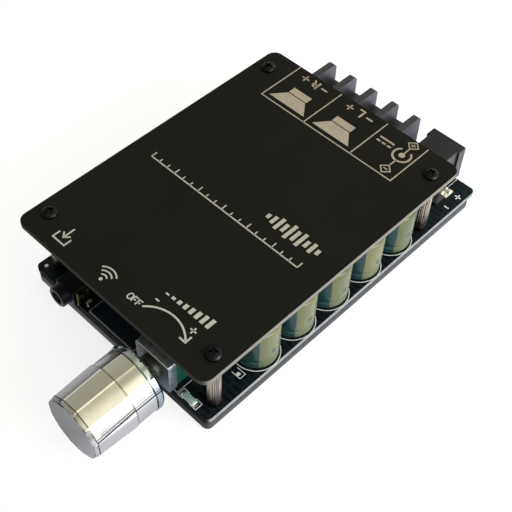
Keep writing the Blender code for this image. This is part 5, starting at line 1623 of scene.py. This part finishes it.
class AMPLIFIER_OT_knob(bpy.types.Operator):
    """Builds the volume knob: hollow back, collar, plain drum, faceted front and face"""

    bl_idname = "amplifier.knob"
    bl_label = "Volume Knob"

    def execute(self, context):
        flats = context.scene.amplifier_sizes.facets
        rows = np.array(self.profile())
        half, soft = 180 / flats, 1.9
        rising = np.array([-1, -0.66, -0.33, 0]) * soft - (half - soft)
        offsets = np.concatenate([rising, [-half * 0.45, 0, half * 0.45], -rising[:0:-1]])
        angle = (np.arange(flats)[:, None] * 2 * half + offsets[None]).ravel() + KNOB_TURN
        offset = np.mod(angle - KNOB_TURN + half, 2 * half) - half
        ratio = self.flatness(offset, half, soft)
        radius = rows[:, :1] * (1 - rows[:, 2:] * (1 - ratio[None]))
        a = np.radians(angle)[None]
        height = np.repeat(rows[:, 1:2], len(angle), 1)
        rings = np.stack([radius * np.cos(a), radius * np.sin(a), height], -1) * MM
        shape = moved(skin(list(rings)), (KNOB_AXIS_X, KNOB_HIGH[1], KNOB_AXIS_Z), TO_FRONT)
        knob = stand_in("volume_knob", shape, "knob", VOLUME, smooth=28)
        normals = knob.modifiers.new("Weighted Normal", "WEIGHTED_NORMAL")
        normals.keep_sharp = True
        normals.weight = 50
        return {"FINISHED"}

    def flatness(self, offset, half, soft):
        """Radius over the corner's: a / cos p on a flat, a parabola over the last soft degrees.

        The difference from a round knob is then taken at 82%.
        """
        p = np.abs(np.radians(offset))
        edge, width = radians(half - soft), radians(soft)
        flat = 1 / np.cos(np.minimum(p, edge))
        slope = sin(edge) / cos(edge) ** 2
        t = np.clip((p - edge) / width, 0, 1)
        value = flat + slope * width * (t - t * t / 2)
        top = 1 / cos(edge) + slope * width / 2
        return 1 - (1 - value / top) * 0.82

    def profile(self):
        """(radius mm, height mm from the rear face, share of the facets) from the bore outward."""
        front = (KNOB_HIGH - KNOB_LOW)[1] / MM
        step = KNOB_GROOVE / MM
        hollow = [
            (3.15, 11.2, 0), (3.15, 2.1, 0), (3.35, 1.9, 0), (4.7, 1.9, 0), (4.9, 2.1, 0),
            (4.9, 9.0, 0), (7.6, 9.0, 0), (7.6, 0.2, 0), (7.8, 0.0, 0),
        ]
        collar = [
            (8.75, 0.0, 0), (8.95, 0.15, 0), (9.4, 0.7, 0), (9.46, 0.85, 0), (9.46, 2.12, 0),
            (9.38, 2.2, 0), (8.85, 2.22, 0), (8.8, 2.26, 0), (8.8, 2.42, 0),
        ]
        drum = [
            (8.85, 2.46, 0.3), (9.24, 2.48, 0.5), (9.33, 2.56, 0.6), (9.36, step - 0.38, 0.6),
            (9.30, step - 0.32, 0.6), (8.97, step - 0.30, 0.4), (8.97, step - 0.03, 0.4),
        ]
        barrel = [
            (9.05, step, 0.5), (9.6, step, 1), (9.68, step + 0.09, 1), (9.16, front - 1.34, 1),
            (9.1, front - 1.30, 1), (8.94, front - 1.28, 1), (8.88, front - 1.24, 1),
            (8.88, front - 1.16, 1), (8.98, front - 1.12, 1), (9.06, front - 1.10, 1),
            (9.04, front - 1.04, 1), (8.78, front - 0.22, 0.9), (8.74, front - 0.18, 0.85),
        ]
        face = [
            (8.55, front - 0.20, 0.7), (8.45, front - 0.24, 0.6), (8.35, front - 0.22, 0.5),
            (8.28, front - 0.04, 0.4), (8.2, front, 0.3), (6.0, front, 0), (3.0, front, 0),
            (0.3, front, 0),
        ]
        return hollow + collar + drum + barrel + face


class AMPLIFIER_OT_module(bpy.types.Operator):
    """Builds the wireless module: notched board, plated edge pads, chip, crystal and aerial"""

    bl_idname = "amplifier.module"
    bl_label = "Wireless Module"

    def execute(self, context):
        low, high = corners("module_board")
        places = (low[1] + high[1]) / 2 + (np.arange(11) - 5) * 1.27 * MM
        shape = slab([self.notched(low, high, places)], [(0, low[2]), (0, high[2])])
        stand_in("module_board", shape, "module_board", smooth=20)
        margin = 0.1 * MM
        edge = stroke(rectangle(low[:2] + margin, high[:2] - margin), 0.08 * MM, True)
        printed("module_outline", [edge], high[2], context.scene.amplifier_sizes.ink, "board_ink")
        pads, fillets = [], []
        half = 0.38 * MM
        for y in places:
            for x, side in ((low[0], 1), (high[0], -1)):
                left, right = sorted((x + side * 0.36 * MM, x + side * 1.35 * MM))
                pads.append([rectangle((left, y - half), (right, y + half))])
                fillets.append(self.fillet(x, y, side, high[2]))
        printed("module_pads", pads, high[2], 0.04 * MM, "gold")
        piece("module_solder", joined(fillets), "solder")
        self.make_chip(high[2])
        self.make_aerial(low[0], high[1], high[2])
        return {"FINISHED"}

    def notched(self, low, high, places):
        """The outline, anticlockwise, with a half circle cut into each side at every pad."""
        r, a = 0.33 * MM, np.linspace(0, pi, 7)
        points = [(low[0], low[1]), (high[0], low[1])]
        for y in places:
            points += [(high[0] - r * sin(t), y - r * cos(t)) for t in a]
        points += [(high[0], high[1]), (low[0], high[1])]
        for y in places[::-1]:
            points += [(low[0] + r * sin(t), y + r * cos(t)) for t in a]
        return np.array(points)

    def fillet(self, x, y, side, high):
        """Solder in a notch: a quarter dome from the board up to the pad."""
        rows = []
        for share in (0, 0.35, 0.7, 1.0):
            height = BOARD_TOP - 0.05 * MM + (high - BOARD_TOP + 0.08 * MM) * share
            r = 0.62 * MM * (1 - share) ** 0.8 + 0.30 * MM
            rows.append((ring_loop(r, 12, (x + side * 0.05 * MM, y)), 0, height))
        return stacked(rows)

    def make_chip(self, top):
        """The chip with the dot at its corner, a crystal can and small parts round them."""
        low, high = corners("module_chip")
        middle = (low + high) / 2
        body = brick((low[0], low[1], top + 0.02 * MM), high, 0.12 * MM)
        dot_low, dot_high = (low + np.array(v) * MM for v in ((0.6, 0.6, 0.98), (1.1, 1.1, 1.01)))
        dot = brick(dot_low, dot_high, 0.01 * MM, 0.24 * MM)
        stand_in("module_chip", joined([body, dot]), "chip_epoxy")
        x, y = middle[0] - 4.6 * MM, high[1] + 2.45 * MM
        can = post(x, y, (1.6 * MM, 1.25 * MM), top, top + 0.75 * MM, 0.15 * MM, 0.6 * MM)
        piece("module_crystal", can, "steel")
        spots = (
            (-3.5, -3.0, 0), (-5.6, -3.0, 0), (4.6, -2.0, 1), (4.6, 0.4, 1), (4.6, 2.8, 1),
            (-6.4, 0.6, 1), (1.2, -5.6, 0),
        )
        chips = [(middle[0] + x * MM, middle[1] + y * MM, top, turn) for x, y, turn in spots]
        small_parts("module_small", chips, (1.0, 0.5, 0.4), "ceramic")

    def make_aerial(self, left, rear, top):
        """The folded aerial: long first and last legs, and shorter folds between them."""
        reach, pitch = 5.6 * MM, 1.75 * MM
        left, rear = left + 1.9 * MM, rear - 1.1 * MM
        points = [(left, rear - reach)]
        for k in range(7):
            y = rear - reach * 0.6 if k % 2 else rear
            points += [(left + pitch * k, y), (left + pitch * (k + 1), y)]
        points.append((points[-1][0], rear - reach))
        printed("module_aerial", [stroke(points, 0.55 * MM)], top, 0.035 * MM, "gold")


def small_parts(name, spots, size, material):
    """Surface-mounted parts with soldered end caps: (x, y, z, lies along Y) for each."""
    bodies, ends, solder = [], [], []
    long, wide, tall = (v * MM for v in size)
    cap, trim = long * 0.2, 0.02 * MM
    inner, outer = long / 2 - cap, long / 2 + 0.32 * MM
    for x, y, z, along_y in spots:

        def block(start, end, half, foot, top, radius):
            start, end = sorted((start, end))
            a, b = ((-half, start), (half, end)) if along_y else ((start, -half), (end, half))
            return brick((x + a[0], y + a[1], z + foot), (x + b[0], y + b[1], z + top), radius)

        middle = long / 2 - cap * 0.6
        bodies.append(block(-middle, middle, wide / 2 - trim, 0.05 * MM, tall - trim, 0.04 * MM))
        for side in (-1, 1):
            ends.append(block(side * long / 2, side * inner, wide / 2, 0.03 * MM, tall, 0.06 * MM))
            half = wide / 2 + 0.08 * MM
            solder.append(block(side * outer, side * inner, half, 0.0, tall * 0.35, tall * 0.16))
    piece(f"{name}_parts", joined(bodies), material)
    piece(f"{name}_ends", joined(ends), "tin")
    piece(f"{name}_solder", joined(solder), "solder")


class AMPLIFIER_OT_chips(bpy.types.Operator):
    """Builds the amplifier and preamplifier chips with their bent legs"""

    bl_idname = "amplifier.chips"
    bl_label = "Chips"

    def execute(self, context):
        for name, count, pitch, width in (
            ("amplifier_chip_1", 16, 0.65, 0.26),
            ("amplifier_chip_2", 16, 0.65, 0.26),
            ("preamplifier_chip", 4, 1.27, 0.42),
        ):
            low, high = corners(name)
            inset_by = np.array([1.0, 0, 0]) * MM
            body_low, body_high = low + inset_by + (0, 0, 0.1 * MM), high - inset_by
            stand_in(name, self.body(body_low, body_high), "chip_epoxy", smooth=25)
            legs = []
            for k in range(count):
                y = (low + high)[1] / 2 + (k - (count - 1) / 2) * pitch * MM
                for x, out in ((low[0], 1), (high[0], -1)):
                    middle = (body_low[2] + body_high[2]) / 2
                    legs.append(self.leg(x, out, y, width * MM, low[2] - 0.15 * MM, middle))
            piece(f"{name}_legs", joined(legs), "tin")
        return {"FINISHED"}

    def body(self, low, high):
        """A moulded body: widest at mid height, drafted to both faces, with a dot at one corner."""
        draft, half_band = 0.14 * MM, 0.06 * MM
        middle = (low[2] + high[2]) / 2
        outline = round_rectangle(low, high, 0.12 * MM, 3)
        shape = stacked([
            (outline, draft, low[2]), (outline, 0.0, middle - half_band),
            (outline, 0.0, middle + half_band), (outline, draft, high[2]),
        ])
        dot = stacked([
            (ring_loop(radius * MM, 20, low[:2] + 0.85 * MM), 0, high[2] + rise * MM)
            for radius, rise in ((0.36, -0.02), (0.36, 0.012), (0.28, 0.012))
        ])
        return joined([shape, dot])

    def leg(self, x, out, y, width, foot, middle):
        """A gull-wing strip swept along its bent centre line."""
        sole = foot + 0.09 * MM
        line = np.array([
            (1.08 * MM, middle), (0.72 * MM, middle), (0.60 * MM, middle - 0.05 * MM),
            (0.48 * MM, foot + 0.16 * MM), (0.38 * MM, sole), (0.0, sole),
        ])
        line[:, 0] = x + out * line[:, 0]
        way = np.gradient(line, axis=0)
        way /= np.linalg.norm(way, axis=1, keepdims=True)
        across = np.stack([-way[:, 1], way[:, 0]], -1) * 0.075 * MM
        rings = []
        for p, n in zip(line, across):
            above, below = p + n, p - n
            ends = ((above, -1), (above, 1), (below, 1), (below, -1))
            rings.append(np.array([(q[0], y + side * width / 2, q[1]) for q, side in ends]))
        shape = skin(rings)
        return flipped(shape) if out > 0 else shape


class AMPLIFIER_OT_coils(bpy.types.Operator):
    """Builds the four shielded output coils"""

    bl_idname = "amplifier.coils"
    bl_label = "Coils"

    def execute(self, context):
        for n in range(1, 5):
            self.make_coil(n, *corners(f"coil_{n}"))
        return {"FINISHED"}

    def make_coil(self, n, low, high):
        """Rings from the foot up the square body, over the round well and the core inside it."""
        steps, top, wide = 10, high[2], (high - low)[0]
        middle = ((low + high) / 2)[:2]
        square = round_rectangle(low, high, 1.9 * MM, steps)
        rows = [
            (square, 0.3 * MM, low[2]), (square, 0, low[2] + 0.3 * MM), (square, 0, top - 0.35 * MM),
            (square, 0.1 * MM, top - 0.1 * MM), (square, 0.35 * MM, top),
        ]
        for share, drop in (
            (0.405, 0), (0.398, 0.08), (0.395, 0.6), (0.336, 0.6), (0.333, 0.15), (0.32, 0.05), (0.02, 0.05)
        ):
            rows.append((ring_loop(wide * share, 4 * steps, middle), 0, top - drop * MM))
        stand_in(f"coil_{n}", stacked(rows), "ferrite")
        clips = []
        for y, out in ((low[1], 1), (high[1], -1)):
            for half, start, end, rise in (
                (1.6 * MM, 0.0, 0.35 * MM, low[2] + 1.6 * MM),
                (1.9 * MM, -1.1 * MM, 0.5 * MM, BOARD_TOP + 0.25 * MM),
            ):
                near, far = sorted((y + out * start, y + out * end))
                corner = (middle[0] - half, near, BOARD_TOP)
                clips.append(brick(corner, (middle[0] + half, far, rise), 0.1 * MM))
        piece(f"coil_{n}_clips", joined(clips), "tin")


class AMPLIFIER_OT_small_parts(bpy.types.Operator):
    """Builds the small surface-mounted parts and the soldered supply pads"""

    bl_idname = "amplifier.small_parts"
    bl_label = "Small Parts"

    def execute(self, context):
        self.place_parts()
        self.make_supply()
        return {"FINISHED"}

    def place_parts(self):
        """Resistors, ceramics and filters in rows beside the chips, and a few on their own."""
        on, side = BOARD_TOP, 1.9 * MM
        resistors, ceramics, large = [], [], []
        for chip in ("amplifier_chip_1", "amplifier_chip_2"):
            low, high = corners(chip)
            for k in range(5):
                y = low[1] + (0.8 + 2.4 * k) * MM
                ceramics += [(low[0] - side, y, on, False), (high[0] + side, y, on, False)]
            for k in range(4):
                x = low[0] + (0.7 + 2.3 * k) * MM
                resistors.append((x, low[1] - side, on, True))
                large.append((x, high[1] + 3.0 * MM, on, True))
        low, high = corners("preamplifier_chip")
        for k in range(4):
            y = low[1] + (0.4 + 1.4 * k) * MM
            resistors.append((low[0] - 2.0 * MM - 1.5 * MM * (k % 2), y, on, False))
            ceramics.append((high[0] + side, y, on, False))
        for k in range(6):
            x, y = 11.0 + 2.2 * (k % 4), -34.5 if k > 3 else -30.5
            resistors.append((x * MM, y * MM, on, True))
        for x, y in ((-28.6, -38.4), (-28.6, -36.2), (-28.6, -34.0), (-25.2, -38.4), (-25.2, -36.2)):
            ceramics.append((x * MM, y * MM, on, False))
        ceramics.append((*on_cover((-15.0, -43.3)), on, True))
        resistors.append((*on_cover((25.6, -31.6)), on, True))
        small_parts("board_resistors", resistors, (1.6, 0.8, 0.45), "resistor")
        small_parts("board_ceramics", ceramics, (1.6, 0.8, 0.7), "ceramic")
        small_parts("board_filters", large, (3.2, 1.6, 1.3), "ceramic")

    def make_supply(self):
        """The supply pad beside the power socket with its domes of solder, and its diode."""
        domes = []
        for place, width, length in (
            ((26.9, 56.2), 0.75, 0.9), ((28.4, 57.6), 0.7, 0.6), ((26.8, 58.4), 0.5, 0.5)
        ):
            domes.append(self.dome(on_cover(place), width * MM, length * MM, BOARD_TOP + 0.3 * MM))
        piece("supply_solder", joined(domes), "solder")
        x, y = on_cover((27.5, 57.1))
        half = (1.7 * MM, 1.9 * MM)
        pad = post(x, y, half, BOARD_TOP, BOARD_TOP + 0.34 * MM, 0.12 * MM, 0.5 * MM)
        piece("supply_pad", pad, "warm_tin")
        x, y = on_cover((27.7, 52.6))
        diode = post(x, y, (1.3 * MM, 1.8 * MM), BOARD_TOP, BOARD_TOP + 1.1 * MM, 0.15 * MM)
        piece("supply_diode", diode, "resistor")

    def dome(self, place, width, length, foot):
        """Solder: z = h (1 - s^2)^0.7 over an oval of half axes width and length."""
        rim, tall, sides = 0.04 * MM, 0.42 * MM, 48
        rows = [(1.04, 0.0), (1.04, rim)]
        rows += [(s, rim + tall * (1 - s * s) ** 0.7) for s in np.linspace(1, 0.02, 12)]
        circle = ring_loop(1.0, sides, turn=0)
        return skin([
            np.column_stack([place + s * circle * (width, length), np.full(sides, foot + z)]) for s, z in rows
        ])


class AMPLIFIER_OT_run_lamp(bpy.types.Operator):
    """Builds the run lamp at the front edge of the board"""

    bl_idname = "amplifier.run_lamp"
    bl_label = "Run Lamp"

    def execute(self, context):
        low, high = corners("run_lamp_base")
        low[2], top = BOARD_TOP, high[2]
        inward = np.array([0.5, 0, 0]) * MM
        stand_in("run_lamp_base", brick(low + inward, high - inward, 0.06 * MM), "white_base")
        ends = []
        trim, cap = 0.05 * MM, 0.7 * MM
        for left, right in ((low[0], low[0] + cap), (high[0] - cap, high[0])):
            ends.append(brick((left, low[1] + trim, low[2]), (right, high[1] - trim, top - trim), 0.1 * MM))
        piece("run_lamp_ends", joined(ends), "solder")
        low, high = corners("run_lamp_lens")
        low[2] = top
        stand_in("run_lamp_lens", brick(low, high, 0.22 * MM, 0.3 * MM, 4), "lens")
        return {"FINISHED"}


class AMPLIFIER_PT_panel(bpy.types.Panel):
    """Lists the steps that build the amplifier board, and their sizes and colours"""

    bl_idname = "AMPLIFIER_PT_panel"
    bl_label = "Amplifier Board"
    bl_space_type = "VIEW_3D"
    bl_region_type = "UI"
    bl_category = "Amplifier"

    def draw(self, context):
        layout = self.layout
        for group_of in (context.scene.amplifier_sizes, context.scene.amplifier_colours):
            column = layout.column()
            for key in group_of.bl_rna.properties.keys():
                if key not in ("rna_type", "name"):
                    column.prop(group_of, key)
        column = layout.column(align=True)
        for operator in STEPS:
            column.operator(operator.bl_idname)


STEPS = (
    AMPLIFIER_OT_stage,
    AMPLIFIER_OT_plates,
    AMPLIFIER_OT_cover_marks,
    AMPLIFIER_OT_board_marks,
    AMPLIFIER_OT_standoffs,
    AMPLIFIER_OT_capacitors,
    AMPLIFIER_OT_terminals,
    AMPLIFIER_OT_sockets,
    AMPLIFIER_OT_potentiometer,
    AMPLIFIER_OT_knob,
    AMPLIFIER_OT_module,
    AMPLIFIER_OT_chips,
    AMPLIFIER_OT_coils,
    AMPLIFIER_OT_small_parts,
    AMPLIFIER_OT_run_lamp,
)
CLASSES = (AmplifierSizes, AmplifierColours, *STEPS, AMPLIFIER_PT_panel)


def register():
    for made in CLASSES:
        bpy.utils.register_class(made)
    bpy.types.Scene.amplifier_sizes = PointerProperty(type=AmplifierSizes)
    bpy.types.Scene.amplifier_colours = PointerProperty(type=AmplifierColours)


def unregister():
    del bpy.types.Scene.amplifier_colours
    del bpy.types.Scene.amplifier_sizes
    for made in reversed(CLASSES):
        bpy.utils.unregister_class(made)


def main():
    """Registers the add-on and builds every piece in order."""
    register()
    scene = bpy.context.scene
    make_finishes(scene.amplifier_colours, scene.amplifier_sizes.facets)
    for step in STEPS:
        getattr(bpy.ops.amplifier, step.bl_idname.split(".")[1])()
    boxes = {"cad": CAD_BOX, "visual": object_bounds()}
    boxes = {key: [[float(v) for v in corner] for corner in box] for key, box in boxes.items()}


if __name__ == "__main__":
    main()
